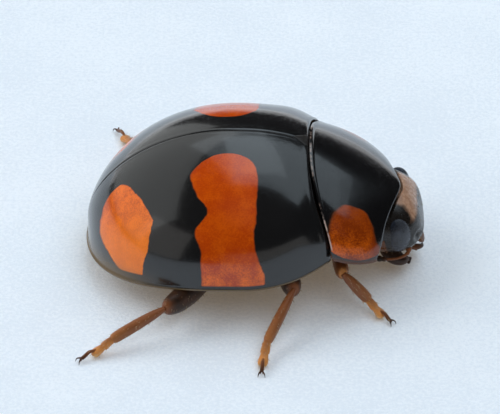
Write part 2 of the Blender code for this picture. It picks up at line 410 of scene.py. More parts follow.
def shellTree(name, sizes, pointAt, reliefAt, material):
    # a grid of the given rows and columns, bent by the formula, then raised by the relief along its normals
    graph, _, size = newTree(name, sizes)
    grid = graph.node("GeometryNodeMeshGrid", None, {
        "Size X": 1.0, "Size Y": 1.0, "Vertices X": size["rows"], "Vertices Y": size["columns"]})
    flat = graph.position()
    (x, y, z), marks = pointAt(size, flat.out("X") + 0.5, flat.out("Y") + 0.5)
    shape = grid
    for label, value in marks.items():
        shape = graph.stored(shape, label, value)
    side = size["side"]
    spot = graph.vector((x + size["originX"]) * mm, (y * side + size["originY"]) * mm, z * mm)
    bent = graph.node("GeometryNodeSetPosition", None, {"Geometry": shape, "Position": spot})
    joined = graph.node("GeometryNodeMergeByDistance", None, {"Geometry": bent, "Distance": mergeWithin * mm})
    lift = graph.node("ShaderNodeVectorMath", {"operation": "SCALE"}, {
        "Vector": graph.node("GeometryNodeInputNormal"), "Scale": reliefAt(size, graph.named) * side * mm})
    raised = graph.node("GeometryNodeSetPosition", None, {"Geometry": joined, "Offset": lift})
    smooth = graph.node("GeometryNodeSetShadeSmooth", None, {"Geometry": raised})
    endTree(graph, smooth, material)
    return graph


def wallUp(piece):
    wall = piece.modifiers.new("wall", "SOLIDIFY")
    wall.thickness = wallThickness * mm
    wall.offset = -1.0
    rounding = piece.modifiers.new("edges", "BEVEL")
    rounding.width = wallEdge * mm
    rounding.segments = 2
    rounding.limit_method = "ANGLE"
    rounding.angle_limit = math.radians(50)
    return piece


midPatch = {
    "centre": -0.57,
    "rear": -1.16,
    "front": 0.03,
    "top": 16.0,            # degrees round from the suture
    "leftHigher": 4.5,
    "square": 31.0,         # where the rounded top has its full width
    "foot": 87.7,
    "notchAt": 47.0,        # the bite out of its rear edge
    "notchDepth": 0.24,
    "notchHalf": 6.3,
    "rearStep": 0.12,       # below the notch the rear edge stands this far forward
    "rearSwell": 0.10,
    "frontSwell": 0.05,
    "frontStep": 0.16,      # low down the front edge runs forward by this
}
rearPatch = {
    "point": (-1.98, 50.0),
    "upperSlope": 0.0170,   # mm per degree away from the point
    "lowerSlope": 0.0062,
    "back": -2.62,
    "backBulge": 0.43,
    "upperHalf": 29.5,
    "lowerHalf": 36.0,
    "top": 19.5,
    "crownFrom": -2.86,     # from here forward the top edge bends down
    "crownRun": 0.53,
    "crownDrop": 12.0,
    "foot": 84.0,
    "footStep": 0.15,
}
patchSoft = 0.036           # half the width over which a patch fades out
perDegree = 0.04            # mm over the shell for each degree round it
shellColours = {
    "black": (0.0092, 0.0086, 0.0086, 1.0),
    "brown": (0.055, 0.020, 0.008, 1.0),
    "orange": (0.82, 0.146, 0.002, 1.0),
    "orangeMottleAndShade": (0.43, 0.042, 0.001, 1.0),
    "orangePaintedLight": (0.95, 0.225, 0.004, 1.0),
    "rim": (0.170, 0.105, 0.040, 1.0),
}


def patchMasks(graph):
    # the two orange patches as numbers from 0 to 1, on the coordinates that the shell carries
    degrees = graph.attribute("around") * math.degrees(1.0)
    place = graph.objectPlace()
    waver = (graph.noise(place, 2.2, 2.0) - 0.5) * 0.10 + (graph.noise(place, 14.0, 2.0) - 0.5) * 0.03
    x = graph.attribute("lengthwise") + waver

    def inside(distance, width=patchSoft):
        return ease(distance, -width, width)

    p = midPatch
    # the left one starts nearer the suture
    acrossSeam = graph.node("ShaderNodeSeparateXYZ", None, {0: place}, "Y") / mm
    onLeft = ease(acrossSeam, bodyOrigin[1] - 0.01, bodyOrigin[1])
    top = p["top"] - p["leftHigher"] * onLeft
    corner = arch(most(p["square"] - degrees, 0.0) / (p["square"] - top), 2.5, 2.0)
    rear = p["rear"] + p["notchDepth"] * hump((degrees - p["notchAt"]) / p["notchHalf"])
    rear = rear + p["rearStep"] * ease(degrees, 56.0, 72.0) - p["rearSwell"] * hump((degrees - 27.0) / 7.5)
    front = (p["front"] - p["frontSwell"] * hump((degrees - 60.0) / 9.0)
             + p["frontStep"] * ease(degrees, 66.0, 84.0))
    rear = p["centre"] + (rear - p["centre"]) * corner
    front = p["centre"] + (front - p["centre"]) * corner
    middle = inside(x - rear) * inside(front - x) * inside((p["foot"] - degrees) * perDegree)
    middle = middle * inside((degrees - top) * perDegree)

    r = rearPatch
    away = degrees - r["point"][1]
    above, below = most(-away, 0.0), most(away, 0.0)
    slope = r["point"][0] - above * r["upperSlope"] - below * r["lowerSlope"]
    back = r["back"] - r["backBulge"] * arch(above / r["upperHalf"] + below / r["lowerHalf"], 2.2, 2.0)
    back = back + r["footStep"] * ease(degrees, 58.0, 86.0)
    tail = inside(x - back, 0.05) * inside(slope - x, 0.018)
    crown = r["top"] + r["crownDrop"] * least(most((x - r["crownFrom"]) / r["crownRun"], 0.0), 1.0) ** 3.0
    tail = tail * inside((degrees - crown) * perDegree) * inside((r["foot"] - degrees) * perDegree)
    return most(middle, tail)


def punctures(graph, place, perMm, depth, radius=0.30, under=None):
    # small round pits in the cuticle
    spots = graph.cells(place, perMm)
    return graph.bump(ease(spots, 0.0, radius), depth, 1.0, under)


gloss = {
    "wavePerMm": 1.1,
    "waveDepth": 0.014,
    "dentPerMm": 5.5,
    "dentShare": 0.5,
    "pitsPerMm": 22.0,
    "pitDepth": 0.0014,
    "pitRadius": 0.34,
    "grainPerMm": 60.0,
    "grainDepth": 0.0004,
    "roughness": 0.13,
    "roughnessMore": 0.06,
    "coat": 0.35,
    "coatLess": 0.28,        # how much less coat there is on the orange and on the rim
}


def glossyShell(graph, mask, rim, colours, paintedShade=0.0, paintedLight=0.0, dents=0.0):
    g = gloss
    place = graph.objectPlace()
    mottle = graph.noise(place, 3.0, 4.0, 0.6)
    fleck = graph.noise(place, 30.0, 2.0)
    # the mottle picks between a darker and a brighter orange; painted shade pushes it to the darker one, and
    # painted light mixes in a paler orange
    bright = ease(mottle * 0.6 + fleck * 0.4, 0.36, 0.66) * (1.0 - paintedShade)
    orange = graph.mix(bright, colours["orangeMottleAndShade"], colours["orange"])
    orange = graph.mix(paintedLight, orange, colours["orangePaintedLight"])
    brown = graph.mix(ease(mask, 0.0, 0.75), colours["black"], colours["brown"])
    body = graph.mix(ease(mask, 0.25, 1.0), brown, orange)
    body = graph.mix(rim, body, colours["rim"])
    dented = g["dentShare"] * dents * graph.noise(place, g["dentPerMm"], 3.0)
    swell = graph.noise(place, g["wavePerMm"], 2.0) + dented
    wave = graph.bump(swell, g["waveDepth"])
    pits = punctures(graph, place, g["pitsPerMm"], g["pitDepth"], g["pitRadius"], wave)
    grain = graph.bump(graph.noise(place, g["grainPerMm"], 2.0), g["grainDepth"], 1.0, pits)
    return {
        "Base Color": body,
        "Roughness": g["roughness"] + g["roughnessMore"] * mottle,
        "IOR": 1.52,
        "Specular IOR Level": 0.5,
        "Coat Weight": g["coat"] - g["coatLess"] * most(mask, rim),
        "Coat Roughness": 0.06,
        "Normal": grain,
    }


def wingCaseShader(graph):
    mask = patchMasks(graph)
    x, around = graph.attribute("lengthwise"), graph.attribute("around")
    rimGap = graph.attribute("rimGap")
    edge = most(hump(rimGap / 0.02), ease(graph.attribute("fold"), 0.0, 0.4))
    # the middle patch gets painted shade, a deeper orange; the rear patch gets painted light, a paler orange
    # that is stronger low down
    # pale brown round the tail: partly the thin rim's own colour, partly painted glow of back-light through
    # it
    tailRimAndGlow = ease(x, -1.6, -2.9) * hump(rimGap / 0.24)
    rim = most(edge * 0.8, tailRimAndGlow * 0.75)
    paintedShade = 0.62 * ease(x, -1.9, -1.4) * ease(around, 1.42, 1.16)
    paintedLight = ease(x, -1.5, -2.0) * (0.15 + 0.50 * ease(around, 0.55, 1.25))
    # shallow dents on the shoulder
    dents = hump((x - 0.60) / 0.50) * hump((around - 0.22) / 0.24)
    return glossyShell(graph, mask * (1.0 - ease(edge, 0.3, 0.9)), rim, shellColours, paintedShade, paintedLight, dents)


def shellSizes(shape, side=1.0):
    return dict(shape, side=side, originX=float(bodyOrigin[0]), originY=float(bodyOrigin[1]))


def buildWingCases():
    material = principled("wingCaseShell", wingCaseShader)
    for side, name in ((1.0, "left"), (-1.0, "right")):
        sizes = shellSizes(wingCase, side)
        graph = shellTree("wing_case_" + name, sizes, wingCasePoint, wingCaseRelief, material)
        piece = runTree("wing_case_" + name, graph, sizes)
        if side < 0:
            piece.data.flip_normals()
        wear(wallUp(piece), "shell", "elytron_" + name)
    print("wing cases built")


shield = {
    "seamAtMidline": 1.01,
    "seamSweep": 0.45,
    "seamPower": 2.9,
    "jointGap": 0.02,
    "front": 2.80,
    "emargination": 0.36,
    "cornerRound": 0.10,
    "cornerPower": 40.0,
    "halfWidth": 1.965,
    "widestAt": 1.645,
    "reach": 1.27,
    "rearRun": 1.40,
    "power": 2.18,
    "crest": 2.555,
    "crestFall": 0.557,
    "crestCurve": 0.024,
    "margin": 1.34,
    "marginFall": 0.247,
    "foldFrom": 0.92,
    "foldShare": 0.18,
    "rimFlare": 0.012,
    "rimHeight": 0.04,
    "frontRoll": 0.014,
    "rollShare": 0.45,       # how much of the roll the front and rear edges each have
    "rollHalf": 0.014,
    "rearRollHalf": 0.020,
    "beadShare": 0.8,
    "beadAt": 0.045,
    "beadHalf": 0.024,
    "rows": 110,
    "columns": 190,
}


def shieldWidth(size, x):
    ahead = most(x - size["widestAt"], 0.0) / size["reach"]
    behind = most(size["widestAt"] - x, 0.0) / size["rearRun"]
    return size["halfWidth"] * arch(ahead, size["power"], 2.0) * arch(behind, size["power"], 2.0)


def shieldHeights(size, x):
    s = x - 1.4
    margin = size["margin"] - size["marginFall"] * s
    return margin, size["crest"] - size["crestFall"] * s - size["crestCurve"] * s * s


def shieldEdge(size, turn):
    side = 1.0 - most(1.0 - sine(turn) ** 2.0, 0.0) ** 1.8
    corner = size["cornerRound"] * abs(sine(turn)) ** size["cornerPower"]
    return size["front"] - size["emargination"] * side - corner


def shieldPoint(size, along, across):
    # across runs from under the right edge, over the back, to under the left edge
    swing = (across - 0.5) * 2.0
    reach = abs(swing)
    share = least(reach / size["foldFrom"], 1.0)
    fold = most(reach - size["foldFrom"], 0.0) / (1.0 - size["foldFrom"])
    turn = quarterTurn * (share + 0.5 * sine(share * halfTurn) / halfTurn)
    seam = seamX(size, turn) + size["jointGap"] / 2.0
    edge = shieldEdge(size, turn)
    x = seam + (edge - seam) * (along - 0.10 * sine(along * 2.0 * halfTurn) / halfTurn)
    width = shieldWidth(size, x)
    margin, crest = shieldHeights(size, x)
    height = (crest - margin) * abs(cosine(turn))
    way = swing / most(reach, 0.0001)
    y = way * width * (sine(turn) - size["foldShare"] * fold)
    z = margin + height + 0.05 * fold - 0.02 * sine(fold * halfTurn)
    marks = {"lengthwise": x, "around": turn, "fold": fold, "rimGap": height,
             "frontGap": edge - x, "backGap": x - seam}
    return (x, y, z), marks


def shieldRelief(size, mark):
    flare = size["rimFlare"] * hump(mark("rimGap") / size["rimHeight"])
    frontGap, backGap = mark("frontGap"), mark("backGap")
    share = size["rollShare"]
    roll = size["frontRoll"] * (share * hump(frontGap / size["rollHalf"])
                                + share * hump(backGap / size["rearRollHalf"]))
    rearBead = size["beadShare"] * size["frontRoll"] * hump((backGap - size["beadAt"]) / size["beadHalf"])
    return flare + rearBead - roll


shieldPatch = {
    "rear": 1.40,
    "front": 2.42,
    "top": 37.0,
    "square": 67.0,
    "foot": 85.5,
    "footBend": 4.5,
    "slant": 0.13,          # how far the front edge of the patch leans back towards its top
}
shieldColours = {
    **shellColours,
    "black": (0.0062, 0.0056, 0.0058, 1.0),
    # the pronotum's orange is a darker copy of the wing cases' orange: painted shade
    "orange": (0.62, 0.105, 0.003, 1.0),
    "orangeMottleAndShade": (0.20, 0.026, 0.002, 1.0),
    "rim": (0.12, 0.035, 0.010, 1.0),
    # a pale pink for the painted highlight along the rear edge
    "paintedEdgeHighlight": (0.62, 0.44, 0.36, 1.0),
}


def shieldShader(graph):
    p = shieldPatch
    place = graph.objectPlace()
    waver = (graph.noise(place, 2.5, 3.0) - 0.5) * 0.16
    x = graph.attribute("lengthwise") + waver
    degrees = graph.attribute("around") * math.degrees(1.0)
    middle = (p["rear"] + p["front"]) / 2
    half = (p["front"] - p["rear"]) / 2
    corner = arch(most(p["square"] - degrees, 0.0) / (p["square"] - p["top"]), 2.0, 2.0)
    slanted = p["slant"] * ease(degrees, 78.0, 60.0) * ease(x, middle, p["front"])
    distance = half * corner - abs(x - middle) - slanted
    foot = p["foot"] - p["footBend"] * ((x - middle) / half) ** 2.0
    mask = ease(distance, -0.07, 0.09) * ease((foot - degrees) * perDegree, -0.05, 0.05)
    mask = mask * ease(degrees, p["top"], p["top"] + 3.0)
    edge = most(hump(graph.attribute("rimGap") / 0.065), ease(graph.attribute("fold"), 0.0, 0.4))
    # painted shade: the patch turns deeper orange over the top and towards the front
    paintedShade = most(ease(degrees, 74.0, 50.0) * 0.7, ease(x, 2.05, 2.35))
    sockets = glossyShell(graph, mask * (1.0 - ease(edge, 0.3, 0.9)), edge * 0.8, shieldColours, paintedShade)
    # a painted highlight along the rear edge, over the back and low on the sides
    paintedEdgeHighlight = most(ease(degrees, 46.0, 52.0) * ease(degrees, 84.0, 78.0), 0.35 * ease(degrees, 34.0, 28.0))
    paintedEdgeHighlight = paintedEdgeHighlight * hump((graph.attribute("backGap") - 0.016) / 0.014)
    paintedEdgeHighlight = paintedEdgeHighlight * ease(graph.noise(place, 9.0, 2.0), 0.36, 0.62)
    sockets["Base Color"] = graph.mix(paintedEdgeHighlight, sockets["Base Color"], shieldColours["paintedEdgeHighlight"])
    return sockets


def buildPronotum():
    material = principled("pronotumShell", shieldShader)
    sizes = shellSizes(shield)
    graph = shellTree("pronotum_shield", sizes, shieldPoint, shieldRelief, material)
    piece = runTree("pronotum_shield", graph, sizes)
    wear(wallUp(piece), "shell", "pronotum")
    print("pronotum built")


class Skin:
    # gathers closed forms into one mesh, with the numbers that its shader and its hairs read
    charts = 8

    def __init__(self):
        self.points = []
        self.faces = []
        self.spots = []      # a place on the unwrap for each face corner
        self.tone = []
        self.hair = []
        self.lie = []
        self.forms = 0

    def spot(self, along, around):
        row, column = divmod(self.forms, self.charts)
        return ((column + 0.05 + 0.9 * along) / self.charts, (row + 0.05 + 0.9 * around) / self.charts)

    def add(self, rings, tone=0.0, hair=0.0, flow=None):
        # rings are closed loops of equal count, and a pole closes each end
        rings = np.asarray(rings, float)
        count, sides = rings.shape[:2]
        first = len(self.points)
        self.points += list(rings.reshape(-1, 3)) + [rings[0].mean(0), rings[-1].mean(0)]
        for kept, given in ((self.tone, tone), (self.hair, hair)):
            given = np.asarray(given, float)
            given = given[:, None] if given.ndim == 1 else given
            spread = np.broadcast_to(given, (count, sides))
            kept += list(spread.reshape(-1)) + [spread[0].mean(), spread[-1].mean()]
        if flow is None:
            flow = np.gradient(rings.mean(1), axis=0)[:, None]
        flow = np.broadcast_to(flow, (count, sides, 3)).reshape(-1, 3)
        flow = flow / np.maximum(np.linalg.norm(flow, axis=1, keepdims=True), 1e-9)
        self.lie += list(flow) + [flow[0], flow[-1]]
        tail, nose = first + count * sides, first + count * sides + 1
        for j in range(sides):
            k = (j + 1) % sides
            low, high = j / sides, (j + 1) / sides
            self.faces.append((tail, first + k, first + j))
            self.spots += [self.spot(0.0, low), self.spot(0.0, high), self.spot(0.0, low)]
            for i in range(count - 1):
                a, b = first + i * sides, first + (i + 1) * sides
                near, far = i / (count - 1), (i + 1) / (count - 1)
                self.faces.append((a + j, a + k, b + k, b + j))
                self.spots += [self.spot(near, low), self.spot(near, high)]
                self.spots += [self.spot(far, high), self.spot(far, low)]
            last = first + (count - 1) * sides
            self.faces.append((nose, last + j, last + k))
            self.spots += [self.spot(1.0, low), self.spot(1.0, low), self.spot(1.0, high)]
        self.forms += 1

    def tube(self, rows, steps, sides, tones, hair=0.0, **kind):
        # a swept form whose tone runs evenly from the first number to the second
        rings = sweep(rows, steps, sides, **kind)
        self.add(rings, np.linspace(*tones, len(rings)), hair)

    def build(self, name, material):
        piece = meshFrom(name, self.points, self.faces)
        mesh = piece.data
        chart = mesh.uv_layers.new(name="skinChart")
        chart.data.foreach_set("uv", np.asarray(self.spots, np.float32).ravel())
        setNumbers(mesh, "tone", self.tone)
        setNumbers(mesh, "hair", self.hair)
        lie = mesh.attributes.new("lie", "FLOAT_VECTOR", "POINT")
        lie.data.foreach_set("vector", np.asarray(self.lie, np.float32).ravel())
        working = bmesh.new()
        working.from_mesh(mesh)
        bmesh.ops.recalc_face_normals(working, faces=working.faces)
        working.to_mesh(mesh)
        working.free()
        mesh.materials.append(material)
        return piece


def spline(rows, steps):
    # a smooth line through rows of numbers, the first three of them a place
    rows = np.asarray(rows, float)
    ends = np.vstack([2 * rows[0] - rows[1], rows, 2 * rows[-1] - rows[-2]])
    made = []
    for a, b, c, d in zip(ends, ends[1:], ends[2:], ends[3:]):
        for t in np.linspace(0.0, 1.0, steps, endpoint=False):
            made.append(0.5 * (2 * b + (c - a) * t + (2 * a - 5 * b + 4 * c - d) * t ** 2
                               + (3 * b - a - 3 * c + d) * t ** 3))
    made.append(rows[-1])
    return np.array(made)


def sweep(rows, steps=6, sides=16, up=(0.0, 0.0, 1.0), square=2.0):
    # rings along rows of x, y, z, half width and half height; above 2, square gives flatter faces
    line = spline(rows, steps)
    ahead = np.gradient(line[:, :3], axis=0)
    ahead /= np.linalg.norm(ahead, axis=1, keepdims=True)
    side = np.cross(np.asarray(up, float), ahead)
    side /= np.maximum(np.linalg.norm(side, axis=1, keepdims=True), 1e-9)
    over = np.cross(ahead, side)
    turn = np.linspace(0.0, 2 * halfTurn, sides, endpoint=False)
    c, s = np.cos(turn), np.sin(turn)
    stretch = (np.abs(c) ** square + np.abs(s) ** square) ** (-1.0 / square)
    wide = np.maximum(line[:, 3], 0.002)[:, None, None]
    tall = np.maximum(line[:, 4], 0.002)[:, None, None]
    return (line[:, None, :3] + side[:, None] * (c * stretch)[:, None] * wide
            + over[:, None] * (s * stretch)[:, None] * tall)


def between(start, end, share):
    return np.asarray(start, float) * (1 - share) + np.asarray(end, float) * share


def rowsAlong(start, end, shares, wides, talls, sag=0.0, bow=(0.0, 0.0, 0.0)):
    # control rows on the way from start to end; bow pushes the middle aside
    rows = []
    for share, wide, tall in zip(shares, wides, talls):
        arc = 4 * share * (1 - share)
        place = between(start, end, share) + np.asarray(bow, float) * arc
        place[2] -= sag * arc
        rows.append((*place, wide, tall))
    return rows


cuticleColours = {
    "dark": (0.012, 0.009, 0.007, 1.0),
    "brown": (0.205, 0.065, 0.021, 1.0),
    "tan": (0.60, 0.235, 0.060, 1.0),
    "pale": (0.76, 0.45, 0.18, 1.0),
    "hair": (0.62, 0.47, 0.27, 1.0),
    "hairDark": (0.25, 0.16, 0.08, 1.0),
}


def cuticleShader(graph):
    # tone runs from near black through brown to tan
    c = cuticleColours
    place = graph.objectPlace()
    mottle = graph.noise(place, 6.0, 4.0, 0.6)
    tone = graph.attribute("tone") + (mottle - 0.5) * 0.25
    lower = graph.mix(ease(tone, 0.0, 0.5), c["dark"], c["brown"])
    middle = graph.mix(ease(tone, 0.45, 1.0), lower, c["tan"])
    colour = graph.mix(ease(tone, 1.0, 1.4), middle, c["pale"])
    pits = punctures(graph, place, 22.0, 0.003)
    return {
        "Base Color": colour,
        "Roughness": 0.26 + 0.18 * mottle,
        "IOR": 1.45,
        "Specular IOR Level": 0.35,
        "Normal": graph.bump(graph.noise(place, 40.0, 3.0), 0.002, 1.0, pits),
    }


def hairShader(graph):
    c = cuticleColours
    place = graph.objectPlace()
    return {
        "Base Color": graph.mix(ease(graph.noise(place, 8.0, 2.0), 0.35, 0.65), c["hairDark"], c["hair"]),
        "Roughness": 0.42 + 0.1 * graph.noise(place, 30.0, 1.0),
    }


def hairTree(name, sizes, material):
    # short curved hairs rooted on the mesh that comes in, thick where its "hair" is 1, lying along its "lie"
    graph, entry, size = newTree(name, sizes)

    def vectorMaths(operation, *values):
        sockets = dict(enumerate(values))
        if operation == "SCALE":
            sockets = {"Vector": values[0], "Scale": values[1]}
        return graph.node("ShaderNodeVectorMath", {"operation": operation}, sockets)

    density = graph.named("hair") * size["perSquareMm"] / (mm * mm)
    roots = graph.node("GeometryNodeDistributePointsOnFaces", {"distribute_method": "RANDOM"},
                       {"Mesh": entry, "Density": density, "Seed": size["seed"]})
    placed = graph.stored(roots, "rootSpot", graph.named("skinChart", "FLOAT_VECTOR"), "FLOAT_VECTOR")
    jitter = graph.node("FunctionNodeRandomValue", {"data_type": "FLOAT_VECTOR"},
                        {0: (-1.0, -1.0, -1.0), 1: (1.0, 1.0, 1.0), "Seed": size["seed"]})
    upright = vectorMaths("SCALE", roots.out("Normal"), size["stand"])
    flat = vectorMaths("SCALE", graph.named("lie", "FLOAT_VECTOR"), 1.0 - size["stand"])
    way = vectorMaths("ADD", vectorMaths("ADD", upright, flat), vectorMaths("SCALE", jitter, size["jitter"]))
    turned = graph.node("FunctionNodeAlignRotationToVector", {"axis": "Z"}, {"Vector": way})
    grown = graph.node("FunctionNodeRandomValue", {"data_type": "FLOAT"},
                       {2: size["shortest"], 3: size["longest"], "Seed": size["seed"]})
    cone = graph.node("GeometryNodeMeshCone", {"fill_type": "TRIANGLE_FAN"}, {
        "Vertices": 3, "Side Segments": 2, "Radius Top": 0.0, "Radius Bottom": size["radius"] * mm,
        "Depth": size["length"] * mm})
    spot = graph.position()
    share = spot.out("Z") / (size["length"] * mm)
    around = spot.out("X") / (size["radius"] * mm * 2.0) + 0.5
    marked = graph.stored(cone, "tuftSpot", graph.vector(share, around), "FLOAT_VECTOR")
    bend = graph.vector(share * share * size["curl"] * size["length"] * mm)
    curved = graph.node("GeometryNodeSetPosition", None, {"Geometry": marked, "Offset": bend})
    hairs = graph.node("GeometryNodeInstanceOnPoints", None, {
        "Points": placed, "Instance": curved, "Rotation": turned, "Scale": grown})
    endTree(graph, hairs, material)
    return graph


def growHairs(name, skin, sizes, material):
    graph = hairTree(name, sizes, material)
    piece = runTree(name, graph, sizes, skin.data)
    mesh = piece.data
    # each hair is one small patch of the coat's map, at its root's place on the skin's unwrap
    count = len(mesh.vertices)
    root, tuft = np.zeros(count * 3, np.float32), np.zeros(count * 3, np.float32)
    mesh.attributes["rootSpot"].data.foreach_get("vector", root)
    mesh.attributes["tuftSpot"].data.foreach_get("vector", tuft)
    # hairs near the ground bend flat above it
    spots = np.zeros(count * 3, np.float32)
    mesh.vertices.foreach_get("co", spots)
    low = coatLowest * mm
    spots[2::3] = np.where(spots[2::3] < low, low * np.exp((spots[2::3] - low) / low), spots[2::3])
    mesh.vertices.foreach_set("co", spots)
    places = root.reshape(-1, 3)[:, :2] + tuft.reshape(-1, 3)[:, :2] * tuftPatch
    corner = np.zeros(len(mesh.loops), np.int32)
    mesh.loops.foreach_get("vertex_index", corner)
    mesh.uv_layers.new(name="OFBake").data.foreach_set("uv", places[corner].astype(np.float32).ravel())
    for used in ("rootSpot", "tuftSpot", "hair", "tone", "lie", "skinChart"):
        if used in mesh.attributes:
            mesh.attributes.remove(mesh.attributes[used])
    return piece


headShape = {
    "centre": (2.48, 0.0, 1.12),
    "half": (0.77, 1.02, 0.71),
    "rearHalf": 0.50,
    "power": 2.6,
    "lean": 0.15,
    "underShield": 0.17,     # how far the head stays inside the pronotum's outer face
    "clypeusFrom": -13.0,    # degrees below the front, along the face
    "clypeusTo": -40.0,
    "clypeusHalf": 27.0,
    "clypeusRise": 0.028,
    "socketAt": (-12.0, 37.0),
    "socketDepth": 0.070,
    "cheekRise": 0.03,
    "grooveDepth": 0.022,
    "browRise": 0.018,
    "socketRim": 0.012,
    "dimpleDepth": 0.020,
    "patchTop": 68.0,
    "patchFoot": 25.0,
    "patchHalf": 29.0,
    "rows": 150,
    "sides": 200,
}
eyeShape = {
    "facets": 5,
    "scaleX": 0.23,
    "scaleY": 0.165,
    "scaleZ": 0.36,
    "lens": 0.007,
    "lensScale": 0.62,
}
eyeCentre = (2.76, 0.880, 1.145)
headColours = {
    "frons": (0.44, 0.250, 0.155, 1.0),
    "fronsDeep": (0.32, 0.160, 0.095, 1.0),
}
eyeColours = {
    "dark": (0.016, 0.018, 0.026, 1.0),
    "light": (0.040, 0.046, 0.064, 1.0),
}


def headPoint(lateral, pitch):
    # lateral runs from the right side to the left, pitch from straight ahead up over the crown
    h = headShape
    x = np.cos(lateral) * np.cos(pitch)
    y = np.sin(lateral)
    z = np.cos(lateral) * np.sin(pitch)
    flat = np.maximum(np.hypot(x, y), 1e-9)
    c, s = np.abs(x) / flat, np.abs(y) / flat
    flat = flat / (c ** h["power"] + s ** h["power"]) ** (1.0 / h["power"])
    x, y = np.sign(x) * c * flat, np.sign(y) * s * flat
    x = np.where(x < 0, x * h["rearHalf"] / h["half"][0], x) - h["lean"] * z
    return np.stack([x, y, z], -1) * h["half"] + h["centre"]


def normalsOf(grid):
    # of a grid that closes round its second direction
    ahead = np.gradient(grid, axis=0)
    sideways = (np.roll(grid, -1, 1) - np.roll(grid, 1, 1)) / 2
    out = np.cross(ahead, sideways)
    out /= np.maximum(np.linalg.norm(out, axis=2, keepdims=True), 1e-12)
    towards = grid - grid.reshape(-1, 3).mean(0)
    return out * np.sign((out * towards).sum(-1, keepdims=True))


def keepUnder(points, depth):
    # slides what lies under the pronotum to this depth inside its outer face
    x, y, z = points[..., 0], points[..., 1], points[..., 2]
    at = np.clip(x, shield["seamAtMidline"], shield["front"])
    width = shieldWidth(shield, at)
    margin, crest = shieldHeights(shield, at)
    above = np.maximum(z - margin, 0.0)
    turn = np.arctan2(np.abs(y) / width, above / (crest - margin))
    ratio = np.hypot(y / width, above / (crest - margin))
    inside = ease(shieldEdge(shield, turn) - x, -0.07, 0.02)
    limit = 1.0 - depth / (crest - margin)
    shrink = np.where(above > 0, 1.0 - inside * (1.0 - np.minimum(limit / np.maximum(ratio, 1e-9), 1.0)), 1.0)
    return np.stack([x, y * shrink, np.where(above > 0, margin + above * shrink, z)], -1)


def headShader(graph):
    h = headShape
    c = cuticleColours
    place = graph.objectPlace()
    pitch = graph.attribute("pitch") + (graph.noise(place, 5.0, 3.0) - 0.5) * 16.0
    lateral = abs(graph.attribute("lateral")) + (graph.noise(place, 4.0, 3.0) - 0.5) * 12.0
    frons = ease(pitch, h["patchFoot"] - 5.0, h["patchFoot"] + 6.0)
    half = h["patchHalf"] + 13.0 * ease(pitch, 48.0, 20.0)
    frons = frons * ease(lateral - half, 5.0, -4.0) * ease(pitch, h["patchTop"], h["patchTop"] - 14.0)
    mottle = graph.noise(place, 9.0, 4.0, 0.65)
    tan = graph.mix(ease(mottle, 0.3, 0.7), headColours["fronsDeep"], headColours["frons"])
    mouth = 0.6 * ease(pitch, -76.0, -96.0)
    body = graph.mix(mouth, c["dark"], c["brown"])
    colour = graph.mix(frons, body, tan)
    pits = punctures(graph, place, 16.0, 0.004)
    return {
        "Base Color": colour,
        "Roughness": 0.20 + 0.14 * mottle,
        "IOR": 1.5,
        "Normal": graph.bump(graph.noise(place, 45.0, 3.0), 0.0015, 1.0, pits),
    }


def buildHead():
    h = headShape
    lateral = np.linspace(-quarterTurn + 0.01, quarterTurn - 0.01, h["rows"])[:, None]
    pitch = np.linspace(0.0, 2 * halfTurn, h["sides"], endpoint=False)[None]
    pitch = np.where(pitch > halfTurn * 1.2, pitch - 2 * halfTurn, pitch)
    grid = headPoint(lateral, pitch)
    lat, pit = np.degrees(lateral + 0 * pitch), np.degrees(pitch + 0 * lateral)
    side = np.abs(lat)
    out = normalsOf(grid)
    # clypeus, a step below the brow, its groove, the cheeks and the sockets of the antennae
    onClypeus = (ease(pit, h["clypeusTo"] - 4, h["clypeusTo"] + 4)
                 * ease(-pit, -h["clypeusFrom"], 6 - h["clypeusFrom"])
                 * ease(-side, -h["clypeusHalf"], 4 - h["clypeusHalf"]))
    groove = hump((pit - h["clypeusFrom"] + 2.0 * np.cos(np.radians(lat * 3))) / 2.6) * ease(-side, -36, -26)
    brow = hump((pit - 24.0) / 16.0) * hump((side - 30.0) / 13.0)
    cheek = hump((pit + 30.0) / 16.0) * hump((side - 46.0) / 12.0)
    socketPitch, socketSide = (pit - h["socketAt"][0]) / 8.0, (side - h["socketAt"][1]) / 6.5
    socket = hump(socketPitch) * hump(socketSide)
    rim = hump((np.hypot(socketPitch, socketSide) - 1.75) / 0.5)
    dimple = hump((pit - 12.0) / 14.0) * hump(side / 17.0)
    relief = (h["clypeusRise"] * onClypeus - h["grooveDepth"] * groove + h["browRise"] * brow
              + h["cheekRise"] * cheek - h["socketDepth"] * socket + h["socketRim"] * rim
              - h["dimpleDepth"] * dimple)
    grid = keepUnder(grid + out * relief[..., None], h["underShield"])
    skin = Skin()
    skin.add(grid, 0.0, 0.15 + 0.85 * ease(-pit, 25, 50) * ease(-side, -60, -40), (0.4, 0.0, -1.0))
    piece = skin.build("head_capsule", principled("headCuticle", headShader))
    poles = [lat[0, 0], lat[-1, 0]]
    setNumbers(piece.data, "lateral", list(lat.reshape(-1)) + poles)
    setNumbers(piece.data, "pitch", list(pit.reshape(-1)) + [0.0, 0.0])
    wear(piece, "shell", "head")
    print("head built")
    return piece


def eyeShader(graph):
    place = graph.objectPlace()
    cloud = graph.noise(place, 4.0, 3.0)
    return {
        "Base Color": graph.mix(ease(cloud, 0.35, 0.65), eyeColours["dark"], eyeColours["light"]),
        "Roughness": 0.16 + 0.12 * graph.noise(place, 25.0, 1.0),
        "IOR": 1.52,
        "Coat Weight": 0.5,
        "Coat Roughness": 0.08,
    }


